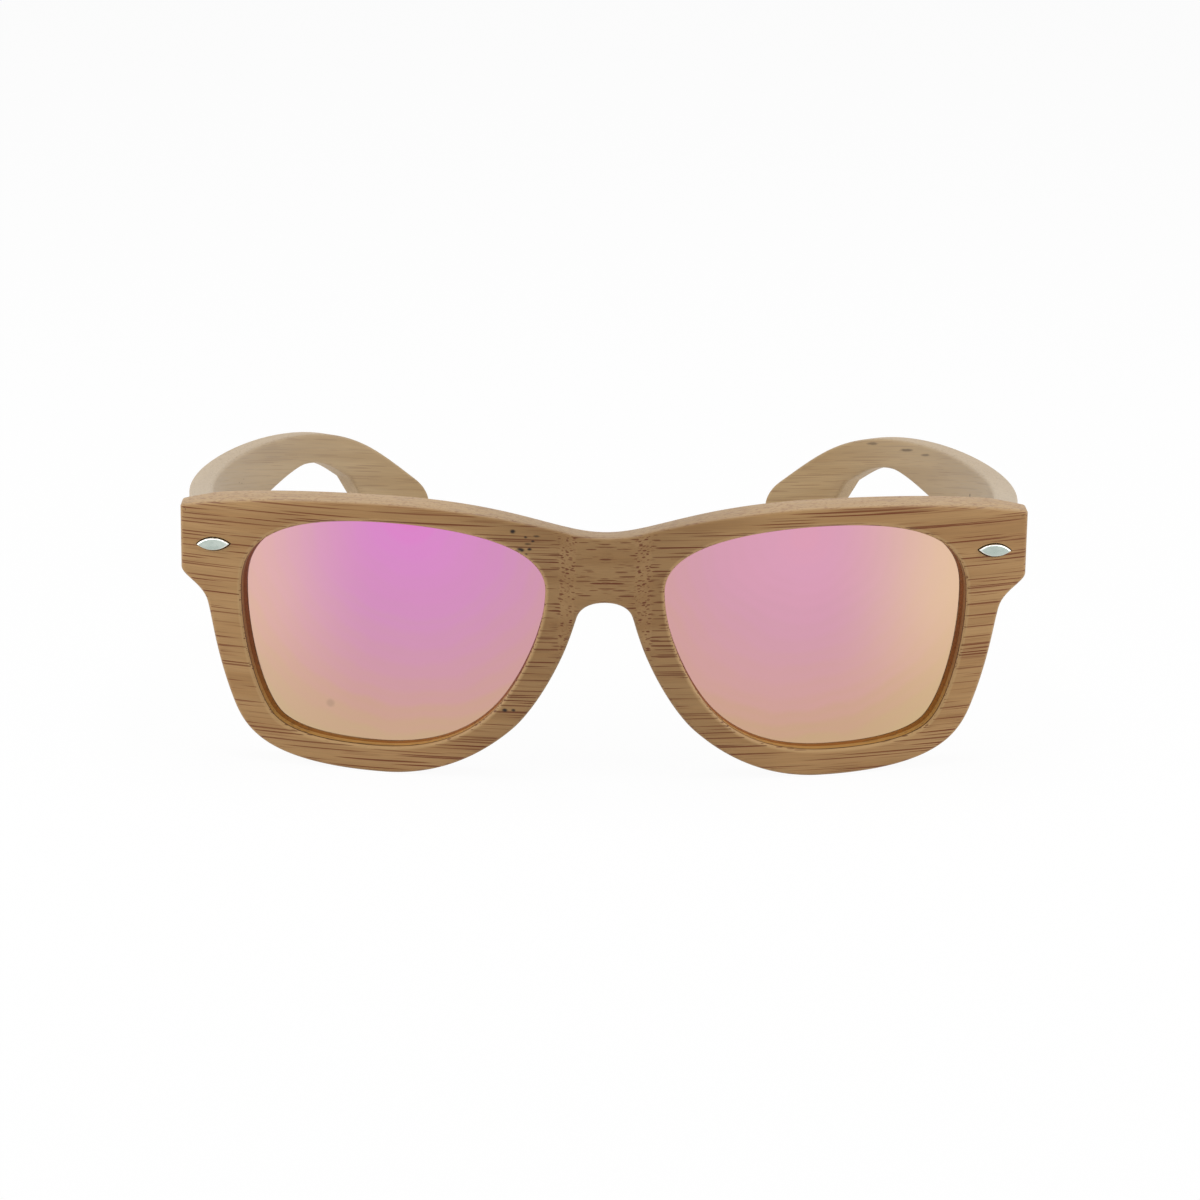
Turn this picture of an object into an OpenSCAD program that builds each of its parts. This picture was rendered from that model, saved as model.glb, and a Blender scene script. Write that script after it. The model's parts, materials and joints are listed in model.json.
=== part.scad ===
// Wooden sunglasses with a bent front, mirrored lenses and hooked temples on sprung hinges.
// X runs across the face with the wearer's left at +X, Y runs towards the back of the head, Z is up.
// The lower rims and the temple tips stand on Z = 0, and the origin is under the middle of the whole.

/* [Front] */
// Width of the front from end to end
front_width = 145; // [143:0.5:149]
// Thickness of the wood
front_thickness = 6; // [5.6:0.1:7]
// Radius that the front face is bent to
wrap_radius = 200; // [190:5:240]
// How far the middle of the bridge stands proud of the bent face
bridge_rise = 0.8; // [0.4:0.1:1.2]

/* [Lenses] */
// Distance from the middle of the bridge to the middle of each eye opening
eye_offset = 36; // [35.5:0.25:36.5]
// Depth of the lens behind the front face
lens_recess = 1.9; // [1.6:0.1:3]
// Thickness of the lens
lens_thickness = 1.8; // [1.4:0.1:2]
// How far the lens groove reaches into the rim
groove_depth = 0.8; // [0.6:0.1:1]

/* [Temples] */
// Thickness of each temple
temple_thickness = 4.2; // [4:0.1:4.8]
// Height of the temple where it meets the front
temple_height = 11.2; // [10:0.1:11.4]
// Height of the temple along its slim middle
temple_waist = 10.9; // [10.4:0.1:11]
// Downward slope of the temple, in degrees
temple_slope = 6.6; // [6.2:0.1:7]
// How far behind its butt the bowed temple is widest
bow_peak = 20; // [18:0.5:22]
// Radius of the bow, on the outer face
bow_radius = 118; // [114:1:126]

/* [Hinges] */
// Height of the hinge above the table
hinge_height = 36.8; // [36.4:0.1:37.4]
// Outer radius of the hinge knuckles
knuckle_radius = 1.25; // [1.15:0.05:1.25]
// Radius of the pivot screw
pivot_radius = 0.6; // [0.5:0.05:0.65]
// Length of the spring housing let into the temple
housing_length = 16; // [15.5:0.5:18]
// Height of the spring housing
housing_height = 4.2; // [4:0.1:4.6]
// How far the carriage can be drawn out against its spring
carriage_travel = 1.2; // [0.8:0.1:1.4]
// Turns of the spring
spring_turns = 5; // [4:1:6]

/* [Rivets] */
// Length of the pointed oval rivet
rivet_length = 6.2; // [5.6:0.2:7]
// Height of the pointed oval rivet
rivet_height = 2.2; // [2:0.1:2.8]

/* [Hidden] */

$fn = 96;
left = 1;
right = -1;
curve_steps = 12;
fit = 0.02;
slip = 0.05;
cut_past = 5;

bamboo = [0.69, 0.55, 0.39];
pale_bamboo = [0.74, 0.62, 0.47];
rose_mirror = [0.80, 0.56, 0.66];
steel = [0.75, 0.75, 0.76];
dark_steel = [0.42, 0.42, 0.44];

// Curves: each node is [across, up, heading, reach back, reach on]
function heading(angle) = [cos(angle), sin(angle)];
function place(n) = [n[0], n[1]];
function blend(a, b, c, d, t) =
    pow(1 - t, 3) * a + 3 * pow(1 - t, 2) * t * b + 3 * (1 - t) * t * t * c + pow(t, 3) * d;
function between(m, n, t) =
    blend(place(m), place(m) + m[4] * heading(m[2]), place(n) - n[3] * heading(n[2]), place(n), t);
function open_curve(nodes) = concat(
    [
        for (i = [0 : len(nodes) - 2], s = [0 : curve_steps - 1])
            between(nodes[i], nodes[i + 1], s / curve_steps)
    ],
    [place(nodes[len(nodes) - 1])]
);
function closed_curve(nodes) = [
    for (i = [0 : len(nodes) - 1], s = [0 : curve_steps - 1])
        between(nodes[i], nodes[(i + 1) % len(nodes)], s / curve_steps)
];
function wrapped(points, i) = points[(i + len(points)) % len(points)];
function run(points, i) = wrapped(points, i + 1) - wrapped(points, i - 1);
function grown(points, by) = [
    for (i = [0 : len(points) - 1])
        let (r = run(points, i) / norm(run(points, i)))
        points[i] + by * [-r[1], r[0]]
];

// Outline of the front's left half, from the middle of the brow round to the top of the nose arch
half_width = front_width / 2;
end_foot = 33.6;
brow = [
    [0, 42.85, 0, 0, 8.5],
    [37.4, 48, 0, 22, 10.5],
    [half_width - 0.6, 44.9, -12.5, 12, 0.3],
    [half_width - 0.1, 44.3, -89, 0.3, 0]
];
rim = [
    [half_width, end_foot, -90, 0, 1.6],
    [68, 28, -105, 3, 3],
    [64.2, 12, -109, 8, 6.5],
    [37.5, 0, 180, 22, 10],
    [15.5, 9, 137, 6.5, 4.5],
    [6.3, 24.5, 109, 6, 3],
    [4.7, 29.6, 108, 1.5, 1.6],
    [0, 32.2, 180, 2.6, 0]
];
half_outline = concat(open_curve(brow), open_curve(rim));
mirrored_half = [for (i = [len(half_outline) - 2 : -1 : 1]) [-half_outline[i][0], half_outline[i][1]]];
front_outline = concat(half_outline, mirrored_half);
front_top = 50;

// Outline of an eye opening, across from its middle and up from the table
eye_nodes = [
    [-26, 34, 90, 8, 9.5],
    [2, 44.7, 0, 8, 12],
    [26.8, 32, -87, 10.5, 8.5],
    [20.5, 8, -142, 5, 3.5],
    [3, 4.7, 180, 9, 8.5],
    [-18, 13, 130, 8, 5]
];
eye_outline = closed_curve(eye_nodes);
eye_turn = asin(eye_offset / wrap_radius);

// Plan positions on the bent front
function face_y(x) = wrap_radius - sqrt(pow(wrap_radius, 2) - x * x);
back_radius = wrap_radius - front_thickness;
function back_y(x) = wrap_radius - sqrt(back_radius * back_radius - x * x);

// Bridge pad: flat in the middle, with a slope on each side
bridge_flat = 5;
bridge_foot = 7.8;

// Seat for the temple's butt end, and the butt itself
seat_depth = 2.4;
seat_y = back_y(half_width) - seat_depth;
seat_inner = 60;
butt_gap = 0.2;
butt_y = seat_y + butt_gap;
inner_face = half_width - temple_thickness;

// Temple: bowed board in its own sloped frame, with its butt's top edge at the origin
temple_top = 45;
bow_swell = 0.2;
bow_middle = half_width + bow_swell - bow_radius;
hook_turn = 40.4;
waist_at = 60;
shank_reach = 76;
tip_drop = 33.62;
board_foot = -40;
cutter_foot = board_foot - 1;
cutter_top = 2;
cutter_side = bow_radius;
hook_nodes = [
    [-96, 0.1, -1.6, 0, 43],
    [-5.4, -5.35, -25.7, 21.5, 5],
    [7.5, -13.2, -34, 5, 2.4],
    [11.3, -19.1, -93, 2.6, 4],
    [6, -tip_drop, -178, 4.2, 3.6],
    [-10.6, -11.3, 153, 11, 5],
    [-26.4, -6, 180, 7.4, 5.2],
    [-60, -temple_waist - 0.8, 180, 14, 0]
];
hook_outline = open_curve(hook_nodes);
round_hook = concat(hook_outline, [
    [hook_nodes[7][0], cutter_foot],
    [cutter_side, cutter_foot],
    [cutter_side, cutter_top],
    [hook_nodes[0][0], cutter_top]
]);
butt_lean = tan(temple_slope);
taper = (temple_height - temple_waist) / waist_at;
round_shank = [
    [-butt_lean * cutter_top, cutter_top],
    [temple_height * butt_lean, -temple_height],
    [shank_reach, shank_reach * taper - temple_height],
    [shank_reach, cutter_foot],
    [-2 * cut_past, cutter_foot],
    [-2 * cut_past, cutter_top]
];
function bowed_y(t) =
    bow_peak + sqrt(bow_radius * bow_radius - t * t) * sin(hook_turn) + t * cos(hook_turn);
tip_reach = max([
    for (p = hook_outline)
        butt_y + bowed_y(p[0]) * cos(temple_slope) + p[1] * sin(temple_slope)
]);
middle_y = (tip_reach - bridge_rise) / 2;

// Hinge: the pivot axis stands upright behind the end of the front
pivot_x = half_width - 5;
pivot_y = butt_y + 1.8;
knuckle_gap = 0.1;
middle_knuckle = 1.7;
outer_knuckle = 1.55;
stack_height = middle_knuckle + 2 * (knuckle_gap + outer_knuckle);
pivot_head_radius = 1.15;
pivot_head_height = 0.6;
driver_slot = 0.25;

// Front hinge plate, let into the curved back of the front
plate_x = half_width - 7.7;
plate_turn = asin(plate_x / back_radius);
plate_width = 5.3;
plate_height = 7.2;
plate_thickness = 1;
plate_edge_x = plate_x + plate_width / 2 * cos(plate_turn);
plate_edge_y = back_y(plate_x) + plate_width / 2 * sin(plate_turn);
web_inner = pivot_x - knuckle_radius;
web_outer = pivot_x - 0.25;
web_front = seat_y - 0.2;
plate_screw_across = -1.3;
plate_screw_up = 2.3;
plate_screw_radius = 0.45;
plate_screw_head = 0.85;
plate_screw_sink = 0.4;
plate_screw_length = 3.2;

// Spring housing, carriage, spring and stop collar, along the pivot's own line
housing_thickness = 3.2;
housing_sink = 0.9;
housing_outer = inner_face + housing_sink;
housing_inner = housing_outer - housing_thickness;
housing_front = pivot_y + 2.9;
housing_wall = 1.2;
room_front = housing_front + housing_wall;
relief_gap = 0.4;
spring_closed = 5.4;
rod_end_gap = 0.2;
rod_tail = 0.2;
bore_radius = 1.05;
collar_length = 1;
spring_room = spring_closed + carriage_travel + collar_length + rod_tail;
rod_radius = 0.55;
shoulder_gap = 0.1;
shoulder_length = 0.9;
shoulder_width = 2.4;
shoulder_height = 3.4;
neck_width = 1.2;
rod_end = room_front + spring_room - rod_end_gap;
collar_radius = 0.95;
collar_back = rod_end - rod_tail;
collar_front = collar_back - collar_length;
spring_wire = 0.14;
spring_radius = 0.78;
spring_end_gap = 0.1;
spring_sides = 6;
spring_rings = 8;
housing_screw_radius = 0.5;
housing_screw_head = 0.9;
housing_screw_sink = 0.5;
housing_screw_tip = half_width - 1.2;
housing_screw_back = [1.8, 5.0];

// Rivet: a pointed oval with a domed face, held by two short pins
rivet_x = half_width - 5.8;
rivet_z = 38.4;
rivet_turn = asin(rivet_x / wrap_radius);
rivet_slant = 6.5;
rivet_arc = (pow(rivet_length / 2, 2) + pow(rivet_height / 2, 2)) / rivet_height;
rivet_rise = 0.5;
rivet_sink = 0.6;
rivet_edge = 0.05;
rivet_gap = 0.1;
dome_drop = rivet_rise - rivet_edge;
dome_radius = (pow(rivet_length / 2, 2) + dome_drop * dome_drop) / (2 * dome_drop);
pin_radius = 0.45;
pin_across = 1.5;
pin_length = 2.2;

// Placing
module placed(side) {
    translate([0, -middle_y, 0])
        mirror([side == right ? 1 : 0, 0, 0])
            children();
}

module in_eye() {
    translate([eye_offset, face_y(eye_offset), 0])
        rotate([0, 0, eye_turn])
            children();
}

module on_plate() {
    translate([plate_x, back_y(plate_x), hinge_height])
        rotate([0, 0, plate_turn])
            children();
}

module on_rivet() {
    translate([rivet_x, face_y(rivet_x), rivet_z])
        rotate([0, rivet_slant, rivet_turn])
            children();
}

module in_temple() {
    translate([0, butt_y, temple_top])
        rotate([-temple_slope, 0, 0])
            children();
}

module in_bow() {
    translate([bow_middle, bow_peak, 0])
        rotate([0, 0, hook_turn])
            children();
}

// Shapes drawn upright, across and up, and given depth along Y
module upright(y_from, y_to) {
    translate([0, y_to, 0])
        rotate([90, 0, 0])
            linear_extrude(height = y_to - y_from)
                children();
}

// Shapes drawn from the side, along Y and up, and given depth along X
module sideways(x_from, x_to) {
    translate([x_from, 0, 0])
        rotate([90, 0, 90])
            linear_extrude(height = x_to - x_from)
                children();
}

module slab(low, high) {
    translate(low)
        cube(high - low);
}

module bent_shell(inner, outer) {
    translate([0, wrap_radius, -cut_past])
        difference() {
            cylinder(r = outer, h = front_top + 2 * cut_past, $fn = 360);
            translate([0, 0, -1])
                cylinder(r = inner, h = front_top + 2 * cut_past + 2, $fn = 360);
        }
}

// Front
module bridge_pad() {
    slope_top = face_y(bridge_foot) + slip;
    linear_extrude(height = front_top)
        polygon([
            [-bridge_foot, slope_top],
            [-bridge_flat, -bridge_rise],
            [bridge_flat, -bridge_rise],
            [bridge_foot, slope_top],
            [bridge_foot, front_thickness / 2],
            [-bridge_foot, front_thickness / 2]
        ]);
}

module front_blank() {
    intersection() {
        upright(-cut_past, seat_y)
            polygon(front_outline);
        union() {
            bent_shell(back_radius, wrap_radius);
            bridge_pad();
        }
    }
}

module eye_cut() {
    in_eye()
        upright(-cut_past, front_thickness + cut_past)
            polygon(eye_outline);
}

module lens_body(grow, slack) {
    lens_face = wrap_radius - lens_recess;
    intersection() {
        in_eye()
            upright(-cut_past, front_thickness + cut_past)
                polygon(grown(eye_outline, grow));
        bent_shell(lens_face - lens_thickness - slack, lens_face + slack);
    }
}

module pointed_oval(grow) {
    reach = rivet_arc - rivet_height / 2;
    intersection() {
        translate([0, reach])
            circle(r = rivet_arc + grow);
        translate([0, -reach])
            circle(r = rivet_arc + grow);
    }
}

module rivet_pins(radius, length) {
    for (side = [left, right])
        translate([side * pin_across, 0, 0])
            upright(rivet_sink - 0.2, rivet_sink + length)
                circle(r = radius, $fn = 32);
}

module plate_block(grow) {
    half = [plate_width / 2 + grow, 0, plate_height / 2 + grow];
    on_plate()
        slab([-half[0], -plate_thickness - grow, -half[2]], [half[0], 1, half[2]]);
}

module plate_screw_shanks(radius, length) {
    on_plate()
        for (side = [left, right])
            translate([plate_screw_across, 0, side * plate_screw_up])
                upright(-length, -plate_screw_sink / 2)
                    circle(r = radius, $fn = 32);
}

module front_cuts() {
    eye_cut();
    lens_body(groove_depth, slip);
    on_rivet() {
        upright(-2, rivet_sink + slip)
            pointed_oval(rivet_gap);
        rivet_pins(pin_radius + fit, pin_length + rivet_gap);
    }
    plate_block(slip);
    plate_screw_shanks(plate_screw_radius + fit, plate_screw_length + rivet_gap);
}

module front() {
    color(bamboo)
        translate([0, -middle_y, 0])
            difference() {
                front_blank();
                front_cuts();
                mirror([1, 0, 0])
                    front_cuts();
            }
}

module lens(side) {
    color(rose_mirror)
        placed(side)
            lens_body(groove_depth - slip, 0);
}

module rivet(side) {
    color(steel)
        placed(side)
            on_rivet() {
                intersection() {
                    upright(-rivet_rise - 1, rivet_sink)
                        pointed_oval(0);
                    translate([0, dome_radius - rivet_rise, 0])
                        sphere(r = dome_radius, $fn = 180);
                }
                rivet_pins(pin_radius, pin_length);
            }
}

// Temple
module bowed_board() {
    translate([bow_middle, bow_peak, board_foot])
        intersection() {
            difference() {
                cylinder(r = bow_radius, h = -board_foot, $fn = 360);
                translate([0, 0, -1])
                    cylinder(r = bow_radius - temple_thickness, h = 2 - board_foot, $fn = 360);
            }
            slab([0, -bow_peak - cut_past, -1], [bow_radius + 1, bow_radius + 1, 1 - board_foot]);
        }
}

module temple_blank() {
    difference() {
        bowed_board();
        sideways(0, half_width + 1)
            polygon(round_shank);
        in_bow()
            sideways(0, bow_radius + 1)
                polygon(round_hook);
    }
}

module housing_screw_shanks(radius, from_x, to_x) {
    for (back = housing_screw_back)
        translate([0, housing_front + housing_length - back, hinge_height])
            rotate([0, 90, 0])
                translate([0, 0, from_x])
                    cylinder(r = radius, h = to_x - from_x, $fn = 32);
}

module temple_cuts() {
    half = housing_height / 2 + slip;
    floor_x = housing_outer + slip;
    housing_back = housing_front + housing_length + slip;
    plate_relief = plate_height / 2 + relief_gap;
    relief_low = hinge_height - stack_height / 2 - relief_gap;
    relief_high = hinge_height + stack_height / 2 + pivot_head_height + relief_gap;
    slab(
        [housing_inner - 1, housing_front - slip, hinge_height - half],
        [floor_x, housing_back, hinge_height + half]
    );
    slab([housing_inner - 1, butt_y - 1, relief_low], [floor_x, housing_front, relief_high]);
    slab(
        [housing_inner - 1, butt_y - 1, hinge_height - plate_relief],
        [plate_edge_x + relief_gap, plate_edge_y + relief_gap, hinge_height + plate_relief]
    );
    housing_screw_shanks(housing_screw_radius + fit, inner_face, housing_screw_tip + rivet_gap);
}

module temple(side) {
    color(pale_bamboo)
        placed(side)
            difference() {
                in_temple()
                    temple_blank();
                temple_cuts();
            }
}

// Hinge
module knuckle(low, high, bore) {
    translate([pivot_x, pivot_y, hinge_height + low])
        difference() {
            cylinder(r = knuckle_radius, h = high - low, $fn = 48);
            translate([0, 0, -1])
                cylinder(r = bore, h = high - low + 2, $fn = 48);
        }
}

module front_plate(side) {
    inner_edge = middle_knuckle / 2 + knuckle_gap;
    outer_edge = stack_height / 2;
    color(steel)
        placed(side)
            difference() {
                union() {
                    intersection() {
                        plate_block(0);
                        bent_shell(back_radius, wrap_radius);
                    }
                    for (low = [-outer_edge, inner_edge])
                        translate([0, 0, hinge_height + low])
                            slab([web_inner, web_front, 0], [web_outer, pivot_y, outer_knuckle]);
                    knuckle(-outer_edge, -inner_edge, pivot_radius / 2);
                    knuckle(inner_edge, outer_edge, pivot_radius / 2);
                }
                translate([pivot_x, pivot_y, hinge_height - stack_height])
                    cylinder(r = pivot_radius + slip, h = 2 * stack_height, $fn = 48);
                plate_screw_shanks(plate_screw_radius + fit, plate_thickness + 1);
                on_plate()
                    for (up = [-plate_screw_up, plate_screw_up])
                        translate([plate_screw_across, 0, up])
                            upright(-plate_screw_sink, 1)
                                circle(r = plate_screw_head + fit, $fn = 32);
            }
}

module plate_screws(side) {
    color(dark_steel)
        placed(side) {
            plate_screw_shanks(plate_screw_radius, plate_screw_length);
            on_plate()
                for (up = [-plate_screw_up, plate_screw_up])
                    translate([plate_screw_across, 0, up])
                        difference() {
                            upright(-plate_screw_sink + fit, -fit)
                                circle(r = plate_screw_head, $fn = 32);
                            slab([-1, -plate_screw_sink / 2, -driver_slot / 2], [1, 1, driver_slot / 2]);
                        }
        }
}

module pivot_screw(side) {
    color(dark_steel)
        placed(side)
            translate([pivot_x, pivot_y, hinge_height - stack_height / 2])
                difference() {
                    union() {
                        cylinder(r = pivot_radius, h = stack_height + pivot_head_height, $fn = 48);
                        translate([0, 0, stack_height + fit])
                            cylinder(r = pivot_head_radius, h = pivot_head_height, $fn = 48);
                    }
                    translate([0, 0, stack_height + pivot_head_height / 2])
                        slab([-2, -driver_slot / 2, 0], [2, driver_slot / 2, 1]);
                }
}

module along_rod(y_from, y_to, radius) {
    translate([pivot_x, 0, hinge_height])
        upright(y_from, y_to)
            circle(r = radius, $fn = 48);
}

module carriage(side) {
    half = middle_knuckle / 2;
    shoulder_back = housing_front - shoulder_gap;
    shoulder_front = shoulder_back - shoulder_length;
    color(steel)
        placed(side)
            difference() {
                union() {
                    knuckle(-half, half, pivot_radius / 2);
                    translate([pivot_x, 0, hinge_height]) {
                        slab([-neck_width / 2, pivot_y, -half], [neck_width / 2, shoulder_back, half]);
                        slab(
                            [-shoulder_width / 2, shoulder_front, -shoulder_height / 2],
                            [shoulder_width / 2, shoulder_back, shoulder_height / 2]
                        );
                    }
                    along_rod(shoulder_front, rod_end, rod_radius);
                }
                translate([pivot_x, pivot_y, hinge_height - stack_height])
                    cylinder(r = pivot_radius + slip, h = 2 * stack_height, $fn = 48);
            }
}

module stop_collar(side) {
    color(dark_steel)
        placed(side)
            difference() {
                along_rod(collar_front, collar_back, collar_radius);
                along_rod(collar_front - 1, collar_back + 1, rod_radius + fit);
            }
}

// Spring: a wire ring every part turn, swept along a helix
function spring_at(low, length, i) =
    let (share = i / (spring_turns * spring_rings), angle = 360 * i / spring_rings)
    [for (k = [0 : spring_sides - 1])
        let (
            round = 360 * k / spring_sides,
            reach = spring_radius + spring_wire * cos(round)
        )
        [
            pivot_x + reach * cos(angle),
            low + length * share + spring_wire * sin(round),
            hinge_height + reach * sin(angle)
        ]
    ];

module spring(side) {
    low = room_front + spring_end_gap + spring_wire;
    length = collar_front - spring_end_gap - spring_wire - low;
    last = spring_turns * spring_rings;
    points = [for (i = [0 : last]) each spring_at(low, length, i)];
    sides = [
        for (i = [0 : last - 1], k = [0 : spring_sides - 1])
            let (
                a = i * spring_sides + k,
                b = i * spring_sides + (k + 1) % spring_sides
            )
            each [[a, b, b + spring_sides], [a, b + spring_sides, a + spring_sides]]
    ];
    first_cap = [for (k = [1 : spring_sides - 2]) [0, k + 1, k]];
    end = last * spring_sides;
    last_cap = [for (k = [1 : spring_sides - 2]) [end, end + k, end + k + 1]];
    color(steel)
        placed(side)
            polyhedron(points, concat(sides, first_cap, last_cap));
}

module housing(side) {
    half = housing_height / 2;
    housing_back = housing_front + housing_length;
    color(steel)
        placed(side)
            difference() {
                slab(
                    [housing_inner, housing_front, hinge_height - half],
                    [housing_outer, housing_back, hinge_height + half]
                );
                along_rod(housing_front - 1, room_front + 1, rod_radius + slip);
                along_rod(room_front, room_front + spring_room, bore_radius);
                housing_screw_shanks(housing_screw_radius + fit, housing_inner - 1, housing_outer + 1);
                housing_screw_shanks(
                    housing_screw_head + fit, housing_inner - 1, housing_inner + housing_screw_sink
                );
            }
}

module housing_screws(side) {
    color(dark_steel)
        placed(side)
            difference() {
                union() {
                    housing_screw_shanks(housing_screw_radius, housing_inner + fit, housing_screw_tip);
                    housing_screw_shanks(
                        housing_screw_head, housing_inner + fit, housing_inner + housing_screw_sink - fit
                    );
                }
                for (back = housing_screw_back)
                    translate([housing_inner, housing_front + housing_length - back, hinge_height])
                        slab([-1, -driver_slot / 2, -2], [housing_screw_sink / 2, driver_slot / 2, 2]);
            }
}

front();
lens(left);  // left_lens
lens(right);  // right_lens
temple(left);  // left_temple
temple(right);  // right_temple
rivet(left);  // left_rivet
rivet(right);  // right_rivet
front_plate(left);  // left_front_plate
front_plate(right);  // right_front_plate
plate_screws(left);  // left_plate_screws
plate_screws(right);  // right_plate_screws
pivot_screw(left);  // left_pivot_screw
pivot_screw(right);  // right_pivot_screw
carriage(left);  // left_carriage
carriage(right);  // right_carriage
spring(left);  // left_spring
spring(right);  // right_spring
stop_collar(left);  // left_stop_collar
stop_collar(right);  // right_stop_collar
housing(left);  // left_housing
housing(right);  // right_housing
housing_screws(left);  // left_housing_screws
housing_screws(right);  // right_housing_screws
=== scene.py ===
"""Looks for wooden sunglasses: bamboo front and temples, mirrored lenses, rivets and sprung hinges."""

import json
import logging
import math
from dataclasses import asdict, dataclass
from enum import Enum
from typing import Callable, Optional, Sequence

import bmesh
import bpy
import numpy as np
from mathutils import Euler, Matrix, Vector
from mathutils.geometry import delaunay_2d_cdt

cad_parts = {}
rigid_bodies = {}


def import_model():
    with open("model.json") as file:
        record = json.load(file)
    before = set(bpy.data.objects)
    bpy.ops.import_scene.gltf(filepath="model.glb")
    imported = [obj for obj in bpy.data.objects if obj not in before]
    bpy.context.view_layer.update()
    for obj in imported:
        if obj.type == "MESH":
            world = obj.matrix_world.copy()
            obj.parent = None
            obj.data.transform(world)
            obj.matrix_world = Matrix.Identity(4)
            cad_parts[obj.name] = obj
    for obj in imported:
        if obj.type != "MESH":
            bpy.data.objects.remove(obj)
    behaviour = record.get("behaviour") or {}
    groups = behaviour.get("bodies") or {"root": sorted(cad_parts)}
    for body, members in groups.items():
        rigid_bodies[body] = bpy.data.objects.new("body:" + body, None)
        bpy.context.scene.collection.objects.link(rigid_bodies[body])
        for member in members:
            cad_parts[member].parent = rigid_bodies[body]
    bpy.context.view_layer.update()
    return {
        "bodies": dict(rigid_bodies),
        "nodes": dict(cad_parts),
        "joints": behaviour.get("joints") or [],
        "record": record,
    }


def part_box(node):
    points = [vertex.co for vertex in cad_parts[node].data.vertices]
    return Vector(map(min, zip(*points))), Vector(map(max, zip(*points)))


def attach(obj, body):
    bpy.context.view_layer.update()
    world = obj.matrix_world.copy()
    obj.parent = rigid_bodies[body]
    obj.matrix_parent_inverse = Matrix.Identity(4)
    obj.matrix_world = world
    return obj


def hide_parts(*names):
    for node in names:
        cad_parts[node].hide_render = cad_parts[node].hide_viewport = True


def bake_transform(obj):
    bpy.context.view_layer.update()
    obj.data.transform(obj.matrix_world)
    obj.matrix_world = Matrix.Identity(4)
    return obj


log = logging.getLogger("sunglasses")

MM = 0.001
QUARTER = math.radians(90)
WELD = 1e-7
TINY = 1e-9

CurveNode = tuple[float, float, float, float, float]
Corner = tuple[float, float, float]
Steps = tuple[int, int, int]
Points = np.ndarray
Mesh = bpy.types.Mesh
Material = bpy.types.Material
Node = bpy.types.Node
Socket = bpy.types.NodeSocket


class Side(Enum):
    """The wearer's two sides, with the sign of X on each."""

    LEFT = 1
    RIGHT = -1

    @property
    def word(self) -> str:
        """The side's name as the nodes spell it."""
        return self.name.lower()


def linear(steps: Steps) -> tuple[float, float, float, float]:
    """Turns a colour of 0 to 255 steps into the linear values that sockets take.

    Args:
        steps: Red, green and blue.

    Returns:
        Linear red, green, blue and full alpha.
    """
    parts = [step / 255 for step in steps]
    red, green, blue = [p / 12.92 if p <= 0.04045 else ((p + 0.055) / 1.055) ** 2.4 for p in parts]
    return red, green, blue, 1.0


# Curves in the plane


def curve_points(nodes: Sequence[CurveNode], closed: bool, spacing: float) -> Points:
    """Samples a chain of curve nodes.

    Args:
        nodes: Rows of across, up, heading in degrees, reach back and reach on.
        closed: Whether the last node runs on to the first.
        spacing: Wanted distance between points, in millimetres.

    Returns:
        Points as rows of across and up.
    """
    fewest = 6
    found: list[Points] = []
    last = len(nodes) if closed else len(nodes) - 1
    for index in range(last):
        start, end = nodes[index], nodes[(index + 1) % len(nodes)]
        a, d = np.array(start[:2]), np.array(end[:2])
        ahead, behind = math.radians(start[2]), math.radians(end[2])
        b = a + start[4] * np.array([math.cos(ahead), math.sin(ahead)])
        c = d - end[3] * np.array([math.cos(behind), math.sin(behind)])
        reach = np.linalg.norm(b - a) + np.linalg.norm(c - b) + np.linalg.norm(d - c)
        steps = max(fewest, round(reach / spacing))
        t = (np.arange(steps) / steps)[:, None]
        found.append((1 - t) ** 3 * a + 3 * (1 - t) ** 2 * t * b + 3 * (1 - t) * t**2 * c + t**3 * d)
    if not closed:
        found.append(np.array([nodes[-1][:2]]))
    return np.concatenate(found)


def straight_points(start: Sequence[float], end: Sequence[float], spacing: float) -> Points:
    """Points from start up to, but without, end.

    Args:
        start: First point.
        end: Point that the run stops before.
        spacing: Wanted distance between points.

    Returns:
        Points as rows.
    """
    a, b = np.array(start, float), np.array(end, float)
    steps = max(1, round(float(np.linalg.norm(b - a)) / spacing))
    return a + (np.arange(steps) / steps)[:, None] * (b - a)


def inset(loop: Points, by: float) -> Points:
    """Moves a closed loop towards its inside.

    Args:
        loop: Points as rows of across and up.
        by: Distance, negative to grow the loop.

    Returns:
        The moved points.
    """
    run = np.roll(loop, -1, 0) - np.roll(loop, 1, 0)
    run /= np.maximum(np.linalg.norm(run, axis=1, keepdims=True), TINY)
    nxt = np.roll(loop, -1, 0)
    area = float(np.sum(loop[:, 0] * nxt[:, 1] - nxt[:, 0] * loop[:, 1]))
    turn = 1.0 if area > 0 else -1.0
    return loop + by * turn * np.stack([-run[:, 1], run[:, 0]], 1)


def inside(points: Points, loop: Points) -> np.ndarray:
    """Tells which points lie inside a closed loop.

    Args:
        points: Points as rows of across and up.
        loop: The loop's points.

    Returns:
        One truth value for each point.
    """
    result = np.zeros(len(points), bool)
    x, z = points[:, 0], points[:, 1]
    for (x1, z1), (x2, z2) in zip(loop, np.roll(loop, -1, 0)):
        crosses = (z1 > z) != (z2 > z)
        if crosses.any():
            result ^= crosses & (x < (x2 - x1) * (z - z1) / ((z2 - z1) or TINY) + x1)
    return result


def round_levels(radius: float, steps: int) -> list[tuple[float, float]]:
    """Inset and depth of each ring of a rounded edge, from the face to the wall.

    Args:
        radius: Radius of the edge.
        steps: Number of strips round it.

    Returns:
        Pairs of inset and depth.
    """
    turns = [math.radians(90 * k / steps) for k in range(steps + 1)]
    return [(radius * (1 - math.sin(a)), radius * (1 - math.cos(a))) for a in turns]


# Meshes


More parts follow.
